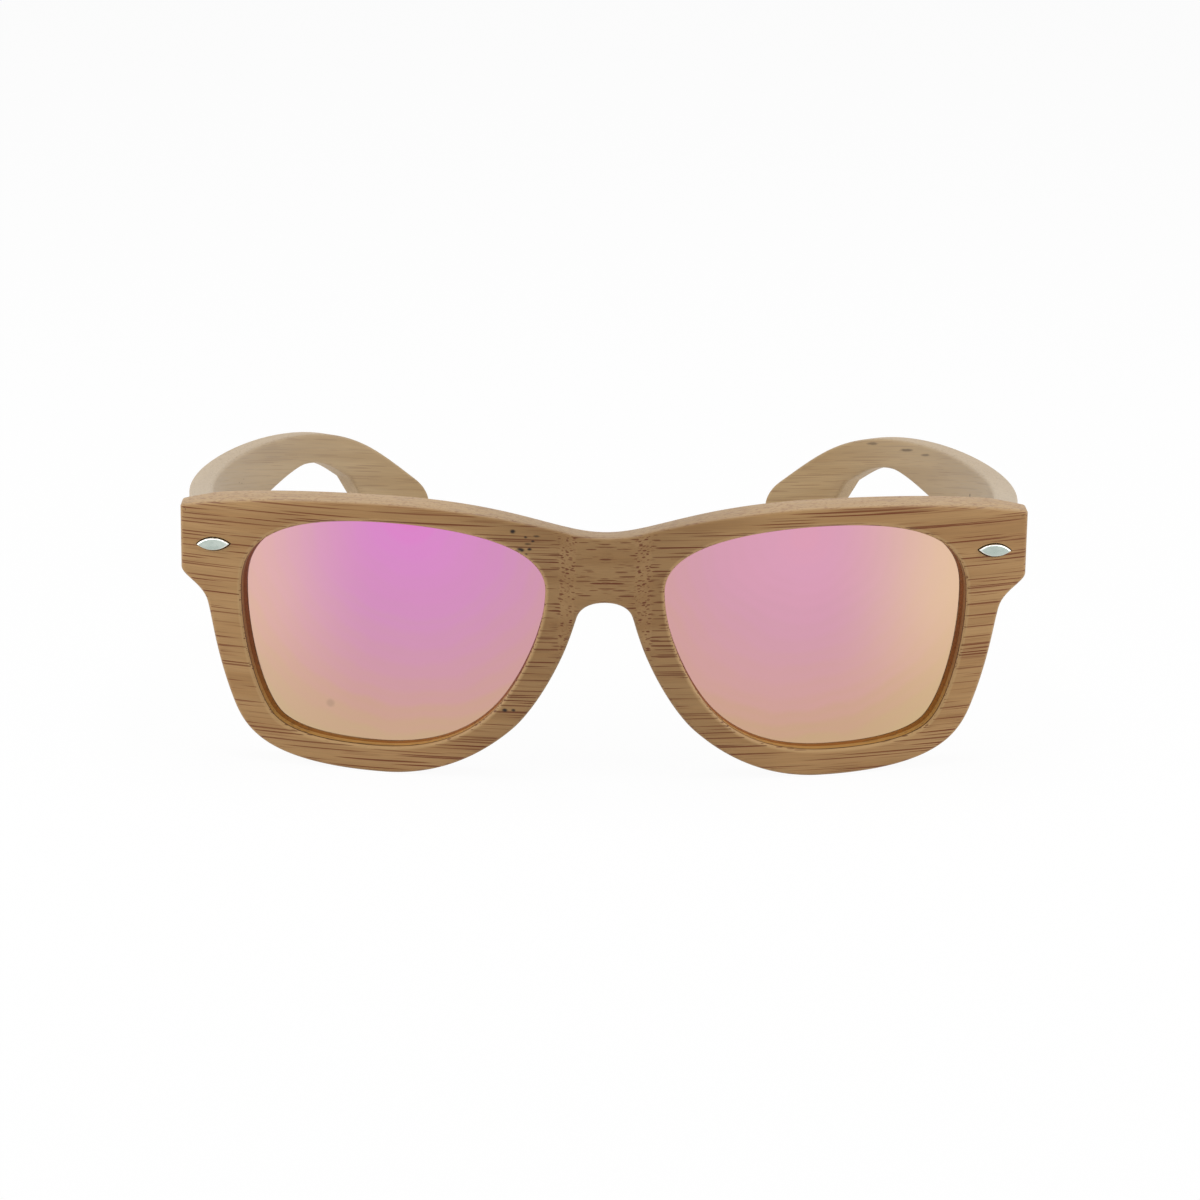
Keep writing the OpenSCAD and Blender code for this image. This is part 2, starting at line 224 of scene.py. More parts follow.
class PieceMesh:
    """Collects the vertices and faces of one closed piece, in millimetres."""

    def __init__(self) -> None:
        """Starts with no vertices."""
        self.verts: list[Corner] = []
        self.faces: list[tuple[int, ...]] = []

    def ring(self, points: Points) -> list[int]:
        """Adds points.

        Args:
            points: Rows of X, Y and Z.

        Returns:
            Their indices.
        """
        start = len(self.verts)
        self.verts.extend(map(tuple, points.tolist()))
        return list(range(start, len(self.verts)))

    def level(self, loop: Points, depth: float) -> list[int]:
        """Adds a loop of across and up at one depth and returns its indices."""
        return self.ring(np.stack([loop[:, 0], np.full(len(loop), depth), loop[:, 1]], 1))

    def bridge(self, one: list[int], other: list[int]) -> None:
        """Joins two closed rings of the same length with quads.

        Args:
            one: A ring's indices.
            other: The other ring's indices, in the same order.
        """
        count = len(one)
        for i in range(count):
            j = (i + 1) % count
            self.faces.append((one[i], one[j], other[j], other[i]))

    def chain(self, rings: Sequence[list[int]]) -> None:
        """Joins each ring to the next."""
        for one, other in zip(rings, rings[1:]):
            self.bridge(one, other)

    def fan(self, ring: list[int], middle: Sequence[float]) -> None:
        """Closes a ring with triangles to a middle point.

        Args:
            ring: The ring's indices.
            middle: The point.
        """
        tip = self.ring(np.array([middle], float))[0]
        count = len(ring)
        self.faces.extend((ring[i], ring[(i + 1) % count], tip) for i in range(count))

    def fill(
        self, loops: Sequence[tuple[list[int], Points]], grid: Points, raise_up: Callable[[Points], Points]
    ) -> None:
        """Fills the first loop, less the others, with triangles over a grid of points.

        Args:
            loops: Vertex indices and flat points of each loop, the outer one first.
            grid: Flat points to use inside, where they are clear of the loops.
            raise_up: Puts flat points on the surface.
        """
        clear = 0.5
        keep = inside(grid, inset(loops[0][1], clear))
        for _, flat in loops[1:]:
            keep &= ~inside(grid, inset(flat, -clear))
        grid = grid[keep]
        names = [i for indices, _ in loops for i in indices] + self.ring(raise_up(grid))
        edges: list[tuple[int, int]] = []
        start = 0
        for _, flat in loops:
            edges += [(start + i, start + (i + 1) % len(flat)) for i in range(len(flat))]
            start += len(flat)
        points = [Vector(p) for p in np.concatenate([*(flat for _, flat in loops), grid]).tolist()]
        made, _, triangles, sources, _, _ = delaunay_2d_cdt(points, edges, [], 1, WELD)
        spots = np.array([tuple(p) for p in made])
        index = [names[source[0]] if source else -1 for source in sources]
        for i, name in enumerate(index):
            if name < 0:
                index[i] = self.ring(raise_up(spots[i : i + 1]))[0]
        middles = np.array([spots[list(t)].mean(0) for t in triangles])
        good = inside(middles, loops[0][1])
        for _, flat in loops[1:]:
            good &= ~inside(middles, flat)
        self.faces.extend(tuple(index[i] for i in t) for t, ok in zip(triangles, good) if ok)

    def mesh(self, name: str) -> Mesh:
        """Makes a mesh in metres with its faces turned outwards.

        Args:
            name: The mesh's name.

        Returns:
            The new mesh.
        """
        made = bpy.data.meshes.new(name)
        made.from_pydata([tuple(MM * c for c in v) for v in self.verts], [], self.faces)
        work = bmesh.new()
        work.from_mesh(made)
        bmesh.ops.remove_doubles(work, verts=work.verts, dist=WELD)
        loose = [v for v in work.verts if not v.link_faces]
        bmesh.ops.delete(work, geom=loose, context="VERTS")
        bmesh.ops.recalc_face_normals(work, faces=work.faces)
        work.to_mesh(made)
        work.free()
        return made


def box_mesh(low: Sequence[float], high: Sequence[float], name: str) -> Mesh:
    """A plain block, used only to cut pockets.

    Args:
        low: Lowest corner, in millimetres.
        high: Highest corner.
        name: The mesh's name.

    Returns:
        The new mesh.
    """
    made = bpy.data.meshes.new(name)
    work = bmesh.new()
    bmesh.ops.create_cube(work, size=1.0)
    for v in work.verts:
        v.co = Vector([MM * (lo if c < 0 else hi) for c, lo, hi in zip(v.co, low, high)])
    work.to_mesh(made)
    work.free()
    return made


def plain_object(name: str, mesh: Mesh) -> bpy.types.Object:
    """Links a mesh into the scene as an object at the origin.

    Args:
        name: The object's name.
        mesh: Its mesh.

    Returns:
        The new object.
    """
    made = bpy.data.objects.new(name, mesh)
    bpy.context.scene.collection.objects.link(made)
    return made


def evaluated(obj: bpy.types.Object, name: str) -> Mesh:
    """Turns an object with live modifiers into a plain mesh.

    Args:
        obj: The object.
        name: The new mesh's name.

    Returns:
        The mesh with every modifier in it.
    """
    bpy.context.view_layer.update()
    graph = bpy.context.evaluated_depsgraph_get()
    made = bpy.data.meshes.new_from_object(obj.evaluated_get(graph), depsgraph=graph)
    made.name = name
    return made


def cut(mesh: Mesh, cutters: Sequence[Mesh]) -> Mesh:
    """Cuts pockets out of a closed mesh.

    Args:
        mesh: The mesh to cut.
        cutters: Closed meshes that are taken away.

    Returns:
        The cut mesh.
    """
    body = plain_object("cut_work", mesh)
    helpers = []
    for number, cutter in enumerate(cutters):
        helper = plain_object(f"cutter_{number}", cutter)
        step = body.modifiers.new(f"cut_{number}", "BOOLEAN")
        step.operation, step.solver, step.object = "DIFFERENCE", "EXACT", helper
        helpers.append(helper)
    made = evaluated(body, mesh.name + "_cut")
    for helper in [body, *helpers]:
        bpy.data.objects.remove(helper)
    return made


def softened(node: bpy.types.Object, width: float, name: str) -> Mesh:
    """Copies a machined node and breaks its sharp edges.

    Args:
        node: The node's object, which stays as it is.
        width: Width of the broken edge, in millimetres.
        name: The new mesh's name.

    Returns:
        The copy with its edges broken.
    """
    flat, sharp = math.radians(1), math.radians(40)
    work = bmesh.new()
    work.from_mesh(node.data)
    bmesh.ops.remove_doubles(work, verts=work.verts, dist=2 * WELD)
    bmesh.ops.dissolve_limit(work, angle_limit=flat, verts=work.verts, edges=work.edges)
    edges = [e for e in work.edges if e.is_manifold and e.calc_face_angle(0) > sharp]
    bmesh.ops.bevel(
        work, geom=edges, offset=width * MM, segments=2, profile=0.6, affect="EDGES", clamp_overlap=True
    )
    bmesh.ops.recalc_face_normals(work, faces=work.faces)
    made = bpy.data.meshes.new(name)
    work.to_mesh(made)
    work.free()
    return made


def vectors(rows: bpy.types.bpy_prop_collection, field: str) -> Points:
    """Reads a vector from each row of a mesh's data.

    Args:
        rows: The mesh's vertices or normals.
        field: The vector's name on a row.

    Returns:
        One row of three numbers for each.
    """
    flat = np.zeros(len(rows) * 3, np.float32)
    rows.foreach_get(field, flat)
    return flat.reshape(-1, 3).astype(float)


def store(mesh: Mesh, name: str, values: np.ndarray) -> None:
    """Keeps a number or a vector on each vertex.

    Args:
        mesh: The mesh.
        name: The attribute's name.
        values: One number, or a row of three, for each vertex.
    """
    vector = values.ndim == 2
    made = mesh.attributes.new(name, "FLOAT_VECTOR" if vector else "FLOAT", "POINT")
    made.data.foreach_set("vector" if vector else "value", values.astype(np.float32).ravel())


def smooth(mesh: Mesh, angle: float) -> None:
    """Shades a mesh smooth, with edges above an angle in degrees kept sharp."""
    mesh.shade_smooth()
    mesh.set_sharp_from_angle(angle=math.radians(angle))


def finished(
    name: str, mesh: Mesh, material: Material, body: Optional[str], nodes: Sequence[str]
) -> bpy.types.Object:
    """Puts a finished piece in place of its nodes.

    Args:
        name: The piece's name.
        mesh: Its mesh, already in place.
        material: Its material.
        body: The body that it moves with, or none for a piece that moves with none.
        nodes: The nodes that it stands for.

    Returns:
        The piece's object.
    """
    mesh.name = name
    mesh.materials.clear()
    mesh.materials.append(material)
    piece = plain_object(name, mesh)
    if body:
        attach(piece, body)
    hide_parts(*nodes)
    log.info("%s: %d faces", name, len(mesh.polygons))
    return piece


# Node trees


class Graph:
    """Short calls for building a node tree."""

    def __init__(self, tree: bpy.types.NodeTree) -> None:
        """Keeps the tree and clears it."""
        self.tree = tree
        tree.nodes.clear()

    def feed(self, socket: Socket, value: object) -> None:
        """Links a socket to an output, or sets its value.

        Args:
            socket: An input.
            value: An output, a plain value, or none to leave it as it is.
        """
        if isinstance(value, Socket):
            self.tree.links.new(value, socket)
        elif value is not None:
            socket.default_value = value

    def add(self, kind: str, *values: object, **settings: object) -> Node:
        """Adds a node, sets its properties and feeds its first inputs.

        Args:
            kind: The node's type.
            values: What its first inputs get, in order.
            settings: Its properties.

        Returns:
            The new node.
        """
        made = self.tree.nodes.new(kind)
        for key, value in settings.items():
            setattr(made, key, value)
        for socket, value in zip(made.inputs, values):
            self.feed(socket, value)
        return made

    def set(self, node: Node, **values: object) -> Node:
        """Feeds a node's inputs by name.

        Args:
            node: The node.
            values: What each input gets, with underscores for the spaces in its name.

        Returns:
            The node.
        """
        for key, value in values.items():
            self.feed(node.inputs[key.replace("_", " ")], value)
        return node

    def math(self, operation: str, *values: object) -> Socket:
        """A Math node's result."""
        return self.add("ShaderNodeMath", *values, operation=operation).outputs[0]

    def times(self, one: object, other: object) -> Socket:
        """The product of two values."""
        return self.math("MULTIPLY", one, other)

    def vector(self, operation: str, *values: object) -> Socket:
        """A Vector Math node's result, its number for a length or a distance."""
        made = self.add("ShaderNodeVectorMath", *values, operation=operation)
        return made.outputs[1 if operation in ("LENGTH", "DISTANCE") else 0]

    def stretched(self, vector: object, by: object) -> Socket:
        """A vector times another, part by part."""
        return self.vector("MULTIPLY", vector, by)

    def combine(self, x: object, y: object, z: object) -> Socket:
        """A vector from three values."""
        return self.add("ShaderNodeCombineXYZ", x, y, z).outputs[0]

    def split(self, vector: Socket) -> Sequence[Socket]:
        """A vector's three values."""
        return self.add("ShaderNodeSeparateXYZ", vector).outputs

    def attribute(self, name: str, output: str = "Fac") -> Socket:
        """A value, or a vector, that the mesh keeps."""
        return self.add("ShaderNodeAttribute", attribute_name=name).outputs[output]

    def mix(self, share: object, one: object, other: object, blend: str = "MIX") -> Socket:
        """Mixes two colours.

        Args:
            share: How much there is of the other colour.
            one: A colour, an output or steps.
            other: The other colour.
            blend: The kind of mix.

        Returns:
            The mixed colour.
        """
        made = self.add("ShaderNodeMix", share, data_type="RGBA", blend_type=blend)
        first_colour, result = 6, 2
        for index, colour in enumerate((one, other)):
            value = linear(colour) if isinstance(colour, tuple) else colour
            self.feed(made.inputs[first_colour + index], value)
        return made.outputs[result]

    def shaded(self, colour: object, factor: Socket) -> Socket:
        """A colour times a grey factor."""
        return self.mix(1.0, colour, self.combine(factor, factor, factor), "MULTIPLY")

    def span(self, value: object, low: object, high: object, to_low: float, to_high: float) -> Socket:
        """A value moved smoothly from one span to another, held at the ends."""
        values = (value, low, high, to_low, to_high)
        return self.add("ShaderNodeMapRange", *values, interpolation_type="SMOOTHSTEP").outputs[0]

    def noise(self, where: object, detail: float, scale: float = 1.0) -> Node:
        """A Noise Texture node."""
        return self.set(self.add("ShaderNodeTexNoise"), Vector=where, Scale=scale, Detail=detail)

    def group(self, tree: bpy.types.NodeTree, **values: object) -> Sequence[Socket]:
        """The outputs of a group that is placed with its inputs set."""
        return self.set(self.add("ShaderNodeGroup", node_tree=tree), **values).outputs

    def bump(self, shader: Node, height: Socket, strength: float, distance: float) -> None:
        """Gives a shader a normal that follows a height."""
        made = self.set(self.add("ShaderNodeBump"), Strength=strength, Distance=distance, Height=height)
        self.feed(shader.inputs["Normal"], made.outputs[0])


def new_group(
    name: str, place: str, values: Sequence[str], outputs: Sequence[str]
) -> tuple[Graph, Sequence[Socket], Sequence[Socket]]:
    """Starts a shader group with named sockets.

    Args:
        name: The group's name.
        place: Name of the vector that goes in.
        values: Names of the values that go in.
        outputs: Names of the values that come out.

    Returns:
        The group's graph, what comes in, and what goes out.
    """
    tree = bpy.data.node_groups.new(name, "ShaderNodeTree")
    tree.interface.new_socket(name=place, in_out="INPUT", socket_type="NodeSocketVector")
    for label in values:
        tree.interface.new_socket(name=label, in_out="INPUT", socket_type="NodeSocketFloat")
    for label in outputs:
        tree.interface.new_socket(name=label, in_out="OUTPUT", socket_type="NodeSocketFloat")
    g = Graph(tree)
    return g, g.add("NodeGroupInput").outputs, g.add("NodeGroupOutput").inputs


def fibre_group() -> bpy.types.NodeTree:
    """Bamboo's brown fibre bundles: long thin rods along the grain, cut by whatever face passes through.

    Returns:
        A group from grain coordinates in millimetres to a streak mask.
    """
    drift_scale, drift_reach = (0.03, 0.22, 0.22), (0.0, 2.0, 2.0)
    thinnest, thicker, core = 0.6, 0.7, 0.75
    faintest, deeper = 0.65, 0.35
    sizes = ["Spacing", "Length", "Wander", "Thickness", "Share"]
    g, given, out = new_group("fibre_bundles", "Grain", sizes, ["Streak"])
    drift = g.noise(g.stretched(given["Grain"], drift_scale), 1.0).outputs["Color"]
    shift = g.stretched(g.vector("SUBTRACT", drift, (0.5, 0.5, 0.5)), drift_reach)
    wander = g.combine(0.0, given["Wander"], given["Wander"])
    moved = g.vector("ADD", given["Grain"], g.stretched(shift, wander))
    cell = g.combine(given["Length"], given["Spacing"], given["Spacing"])
    rods = g.add("ShaderNodeTexVoronoi", feature="F1", voronoi_dimensions="3D")
    rods = g.set(rods, Vector=g.vector("DIVIDE", moved, cell), Scale=1.0).outputs
    there, thick, dark = g.add("ShaderNodeSeparateColor", rods["Color"]).outputs
    radius = g.times(given["Thickness"], g.math("MULTIPLY_ADD", thick, thicker, thinnest))
    soft = g.span(rods["Distance"], g.times(radius, core), radius, 1.0, 0.0)
    shown = g.times(soft, g.math("LESS_THAN", there, given["Share"]))
    g.feed(out["Streak"], g.times(shown, g.math("MULTIPLY_ADD", dark, deeper, faintest)))
    return g.tree


def fine_grain_group() -> bpy.types.NodeTree:
    """Fine hair lines and slow changes of tone along the grain.

    Returns:
        A group from grain coordinates to two values around one half.
    """
    hair_along, tone_scale = 0.12, (0.022, 0.3, 0.3)
    g, given, out = new_group("fine_grain", "Grain", ["Fineness"], ["Hair", "Tone"])
    hair_scale = g.combine(hair_along, given["Fineness"], given["Fineness"])
    g.feed(out["Hair"], g.noise(g.stretched(given["Grain"], hair_scale), 3.0).outputs[0])
    g.feed(out["Tone"], g.noise(g.stretched(given["Grain"], tone_scale), 2.0).outputs[0])
    return g.tree


def handling_group() -> bpy.types.NodeTree:
    """Faint smears and specks that handling leaves.

    Returns:
        A group from object coordinates to a smear and a speck mask.
    """
    smear_span, speck_span, speck_scale = (0.42, 0.68), (0.66, 0.74), 14.0
    g, given, out = new_group("handling_marks", "Place", ["Size"], ["Smear", "Speck"])
    where = g.vector("SCALE", given["Place"])
    g.feed(where.node.inputs["Scale"], given["Size"])
    g.feed(out["Smear"], g.span(g.noise(where, 3.0).outputs[0], *smear_span, 0.0, 1.0))
    g.feed(out["Speck"], g.span(g.noise(where, 1.0, speck_scale).outputs[0], *speck_span, 0.0, 1.0))
    return g.tree


class Groups:
    """The shader groups that the finishes share, each built once."""

    def __init__(self) -> None:
        """Builds the groups."""
        self.fibres = fibre_group()
        self.fine = fine_grain_group()
        self.handling = handling_group()


# Finishes


NOISE_SPAN = (0.3, 0.7)
WIDE_NOISE_SPAN = (0.25, 0.75)
BOLD_FIBRES = {"Spacing": 0.34, "Length": 30.0, "Wander": 0.3, "Thickness": 0.4}
FAINT_FIBRES = {"Spacing": 0.26, "Length": 12.0, "Wander": 0.2, "Thickness": 0.36, "Share": 0.6}
KNOT_BROWN: Steps = (38, 24, 16)
CHAMFER_PALE: Steps = (190, 156, 108)
CHAMFER_STREAK: Steps = (96, 60, 32)
LOW_AMBER: Steps = (176, 132, 66)
# painted shade: the darker amber of the upper walls of the eye openings
SHADED_HIGH_AMBER: Steps = (138, 92, 50)
BURNT_STREAK: Steps = (58, 34, 18)
# near-black of the dark line at the eye walls and of the painted shadow in the rivet recesses
LINE_AND_SHADOW_BLACK: Steps = (28, 18, 12)
SMUDGE_GREY: Steps = (150, 128, 112)
SPECK_GREY: Steps = (90, 86, 80)


def new_material(name: str) -> tuple[Material, Graph, Node]:
    """Starts a material with a Principled shader.

    Args:
        name: The material's name.

    Returns:
        The material, its graph and its shader node.
    """
    made = bpy.data.materials.new(name)
    made.use_nodes = True
    g = Graph(made.node_tree)
    shader = g.add("ShaderNodeBsdfPrincipled")
    g.add("ShaderNodeOutputMaterial", shader.outputs[0])
    return made, g, shader


@dataclass(frozen=True)
class Knot:
    """A dark spot in the wood: its place in the board and its size, in millimetres, and its stretch."""

    along: float
    up: float
    size: float
    strength: float
    depth: float = 0.0
    stretch: float = 1.4


@dataclass(frozen=True)
class BambooFinish:
    """Satin oiled bamboo, with pale machined edges that are partly painted sheen, and painted sheen at the
    temples' butts.
    """

    name: str
    pale: Steps
    deep: Steps
    streak: Steps
    streak_strength: float
    share: float
    knots: tuple[Knot, ...] = ()
    cut_edges: bool = False
    # painted shade: how dark the wood is painted at the bridge, one for none
    bridge_shade: float = 1.0
    edge: Steps = (186, 164, 132)
    edge_share: float = 0.5
    # painted sheen towards the temples' butts
    bare: Steps = (187, 174, 155)
    bare_share: float = 0.65
    faint_strength: float = 0.4
    fineness: float = 7.0
    hair_shade: tuple[float, float] = (0.93, 1.06)
    roughness: tuple[float, float] = (0.42, 0.58)
    sheen: float = 0.3
    hair_height: float = 0.4
    streak_depth: float = 0.6
    bump_strength: float = 0.35
    bump_height: float = 0.00004

    def material(self, groups: Groups) -> Material:
        """Builds the material.

        Args:
            groups: The shared shader groups.

        Returns:
            The new material.
        """
        made, g, shader = new_material(self.name)
        grain = g.attribute("grain", "Vector")
        fine = g.group(groups.fine, Grain=grain, Fineness=self.fineness)
        bold = g.group(groups.fibres, Grain=grain, Share=self.share, **BOLD_FIBRES)["Streak"]
        faint = g.group(groups.fibres, Grain=grain, **FAINT_FIBRES)["Streak"]
        colour = g.mix(g.span(fine["Tone"], *NOISE_SPAN, 0.0, 1.0), self.pale, self.deep)
        colour = g.shaded(colour, g.span(fine["Hair"], *NOISE_SPAN, *self.hair_shade))
        colour = g.mix(g.times(faint, self.faint_strength), colour, self.streak)
        colour = g.mix(g.times(bold, self.streak_strength), colour, self.streak)
        # pale edges, partly painted sheen, and painted sheen at the temples' butts
        colour = self.with_pale_edges(g, grain, colour)
        # painted shade: darker wood towards the bridge
        if self.bridge_shade < 1:
            colour = self.with_shaded_bridge(g, grain, colour)
        colour = self.with_knots(g, grain, colour)
        if self.cut_edges:
            colour = self.with_cut_edges(g, grain, colour, bold)
        roughness = g.span(fine["Hair"], *WIDE_NOISE_SPAN, *self.roughness)
        g.set(shader, Base_Color=colour, Roughness=roughness, Specular_IOR_Level=self.sheen)
        hairs, streaks = g.times(fine["Hair"], self.hair_height), g.times(bold, self.streak_depth)
        height = g.math("SUBTRACT", hairs, streaks)
        g.bump(shader, height, self.bump_strength, self.bump_height)
        return made

    def with_pale_edges(self, g: Graph, grain: Socket, colour: Socket) -> Socket:
        """Pales and speckles the machined edges, where fibres are cut through, partly as painted sheen,
        and paints a greyish sheen towards the temples' butts.

        Args:
            g: The material's graph.
            grain: Grain coordinates.
            colour: The colour so far.

        Returns:
            The colour with pale edges and painted sheen.
        """
        pore_scale, pore_span, pore_strength = (1.3, 3.0, 3.0), (0.54, 0.66), 0.42
        edge = g.attribute("edge")
        pores = g.noise(g.stretched(grain, pore_scale), 2.0).outputs[0]
        speck = g.span(pores, *pore_span, 0.0, pore_strength)
        # the edge mask is partly painted sheen; on the temples it is strongest where the edges face up
        colour = g.mix(g.times(edge, self.edge_share), colour, self.edge)
        colour = g.mix(g.times(edge, speck), colour, self.streak)
        # painted sheen: paler and greyer towards the temples' butts
        return g.mix(g.times(g.attribute("bare"), self.bare_share), colour, self.bare)

    def with_shaded_bridge(self, g: Graph, grain: Socket, colour: Socket) -> Socket:
        """Paints shade on the wood towards the bridge, where the grain's along is zero.

        Args:
            g: The material's graph.
            grain: Grain coordinates.
            colour: The colour so far.

        Returns:
            The colour with painted shade at the bridge.
        """
        near, far = 10.0, 32.0
        out = g.math("ABSOLUTE", g.split(grain)[0])
        # painted shade, fullest within near of the bridge and gone beyond far
        return g.shaded(colour, g.span(out, near, far, self.bridge_shade, 1.0))

    def with_knots(self, g: Graph, grain: Socket, colour: Socket) -> Socket:
        """Darkens the colour at each knot.

        Args:
            g: The material's graph.
            grain: Grain coordinates.
            colour: The colour so far.

        Returns:
            The colour with knots.
        """
        ragged_scale, ragged_share, flatness = (0.9, 1.6, 2.2), 0.5, 0.15
        core, rim = 0.6, 1.15
        ragged = g.noise(g.stretched(grain, ragged_scale), 3.0).outputs[0]
        for knot in self.knots:
            offset = g.vector("SUBTRACT", grain, (knot.along, knot.depth, knot.up))
            offset = g.stretched(offset, (1 / knot.stretch, flatness, 1.0))
            reach = g.math("ADD", g.vector("LENGTH", offset), g.times(ragged, knot.size * ragged_share))
            mask = g.span(reach, knot.size * core, knot.size * rim, knot.strength, 0.0)
            colour = g.mix(mask, colour, KNOT_BROWN)
        return colour

    def with_cut_edges(self, g: Graph, grain: Socket, colour: Socket, streak: Socket) -> Socket:
        """Scorches the cut walls of the eye openings, with painted shade on their upper parts, and pales
        the chamfer round them.
        Blackens a line where each wall meets its chamfer, and paints shadow in the rivet recesses.

        Args:
            g: The material's graph.
            grain: Grain coordinates.
            colour: The colour so far.
            streak: The bold streak mask.

        Returns:
            The colour with its cut edges.
        """
        low, high = 8.0, 22.0
        chamfer_streaks, wall_streaks = 0.9, 0.6
        chamfer_share, wall_share, line_share = 0.6, 0.9, 0.92
        pale = g.mix(g.times(streak, chamfer_streaks), CHAMFER_PALE, CHAMFER_STREAK)
        colour = g.mix(g.times(g.attribute("chamfer"), chamfer_share), colour, pale)
        # painted shade: the scorched walls darken towards the top of each opening
        amber_with_shade = g.mix(g.span(g.split(grain)[2], low, high, 0.0, 1.0), LOW_AMBER, SHADED_HIGH_AMBER)
        burnt = g.mix(g.times(streak, wall_streaks), amber_with_shade, BURNT_STREAK)
        colour = g.mix(g.times(g.attribute("scorched"), wall_share), colour, burnt)
        # blackens the dark line at the eye walls and paints shadow in the rivet recesses
        return g.mix(g.times(g.attribute("scorch_line"), line_share), colour, LINE_AND_SHADOW_BLACK)


@dataclass(frozen=True)
class MirrorFinish:
    """A mirror coat on a smoky lens, which fades from a bloom near the brow and glows at the outer end.

    Places are across and up in millimetres, the stops are distances from the bloom, and the spread is
    how much faster the coat fades across than up.
    """

    name: str
    side: Side
    bloom: tuple[float, float]
    stops: tuple[tuple[float, Steps], ...]
    glow: Steps
    smudge: tuple[float, float]
    spread: float
    glow_from: float
    glow_to: float
    glow_share: float
    smudge_radius: float
    smoke: Steps = (66, 52, 54)
    smoke_metal: float = 0.25
    cloud_scale: float = 0.09
    cloud_reach: float = 4.0
    ring_rate: float = 2.4
    ring_reach: float = 1.4
    glow_low: float = 4.0
    glow_high: float = 34.0
    glow_least: float = 0.2
    smudge_core: float = 0.3
    smudge_strength: float = 0.35
    roughness: float = 0.07
    smear_roughness: float = 0.05
    handling: float = 160.0

    def material(self, groups: Groups) -> Material:
        """Builds the material.

        Args:
            groups: The shared shader groups.

        Returns:
            The new material.
        """
        made, g, shader = new_material(self.name)
        place = g.add("ShaderNodeTexCoord").outputs["Object"]
        flat = g.stretched(place, (1 / MM, 0.0, 1 / MM))
        parts = g.split(flat)
        cloud = g.noise(g.stretched(flat, (self.cloud_scale, 0.0, self.cloud_scale)), 2.0).outputs[0]
        wide = g.stretched(flat, (self.spread, 0.0, 1.0))
        reach = g.vector("DISTANCE", wide, (self.bloom[0] * self.spread, 0.0, self.bloom[1]))
        drift = g.math("MULTIPLY_ADD", cloud, self.cloud_reach, -self.cloud_reach / 2)
        reach = g.math("ADD", reach, drift)
        rings = g.math("SINE", g.times(reach, self.ring_rate))
        reach = g.math("ADD", reach, g.times(rings, g.times(cloud, self.ring_reach)))
        outward = g.times(parts[0], float(self.side.value))
        glow = g.span(outward, self.glow_from, self.glow_to, 0.0, self.glow_share)
        glow = g.times(glow, g.span(parts[2], self.glow_low, self.glow_high, self.glow_least, 1.0))
        colour = g.mix(glow, self.faded(g, reach), self.glow)
        spot = g.vector("DISTANCE", flat, (self.smudge[0], 0.0, self.smudge[1]))
        core = self.smudge_radius * self.smudge_core
        spot = g.span(spot, core, self.smudge_radius, self.smudge_strength, 0.0)
        colour = g.mix(spot, colour, SMUDGE_GREY)
        smear = g.group(groups.handling, Place=place, Size=self.handling)["Smear"]
        rear = g.attribute("rear")
        g.set(
            shader,
            Base_Color=g.mix(rear, colour, self.smoke),
            Metallic=g.span(rear, 0.0, 1.0, 1.0, self.smoke_metal),
            Roughness=g.math("MULTIPLY_ADD", smear, self.smear_roughness, self.roughness),
        )
        return made

    def faded(self, g: Graph, reach: Socket) -> Socket:
        """The coat's colour at a distance from the bloom.

        Args:
            g: The material's graph.
            reach: The distance in millimetres.

        Returns:
            The colour.
        """
        far = self.stops[-1][0]
        ramp = g.add("ShaderNodeValToRGB", g.math("DIVIDE", reach, far))
        ramp.color_ramp.interpolation = "B_SPLINE"
        elements = ramp.color_ramp.elements
        while len(elements) < len(self.stops):
            elements.new(0.5)
        for element, (where, colour) in zip(elements, self.stops):
            element.position, element.color = where / far, linear(colour)
        return ramp.outputs[0]


@dataclass(frozen=True)
class SteelFinish:
    """Bare steel, polished or brushed, with an optional painted highlight on its rim."""

    name: str
    colour: Steps
    shade: Steps
    roughness: float
    brushing: Corner
    rim: Optional[Steps] = None
    speck_share: float = 0.15
    smear_roughness: float = 0.1
    handling: float = 900.0
    bump_strength: float = 0.1
    bump_height: float = 0.00001

    def material(self, groups: Groups) -> Material:
        """Builds the material.

        Args:
            groups: The shared shader groups.

        Returns:
            The new material.
        """
        made, g, shader = new_material(self.name)
        place = g.add("ShaderNodeTexCoord").outputs["Object"]
        lines = g.noise(g.stretched(place, self.brushing), 2.0).outputs[0]
        marks = g.group(groups.handling, Place=place, Size=self.handling)
        colour = g.mix(g.span(lines, *NOISE_SPAN, 0.0, 1.0), self.colour, self.shade)
        colour = g.mix(g.times(marks["Speck"], self.speck_share), colour, SPECK_GREY)
        # painted highlight: a paler colour on the rim, where the finish gives one
        if self.rim:
            colour = g.mix(g.attribute("rim"), colour, self.rim)
        roughness = g.math("MULTIPLY_ADD", marks["Smear"], self.smear_roughness, self.roughness)
        g.set(shader, Base_Color=colour, Metallic=1.0, Roughness=roughness)
        g.bump(shader, lines, self.bump_strength, self.bump_height)
        return made


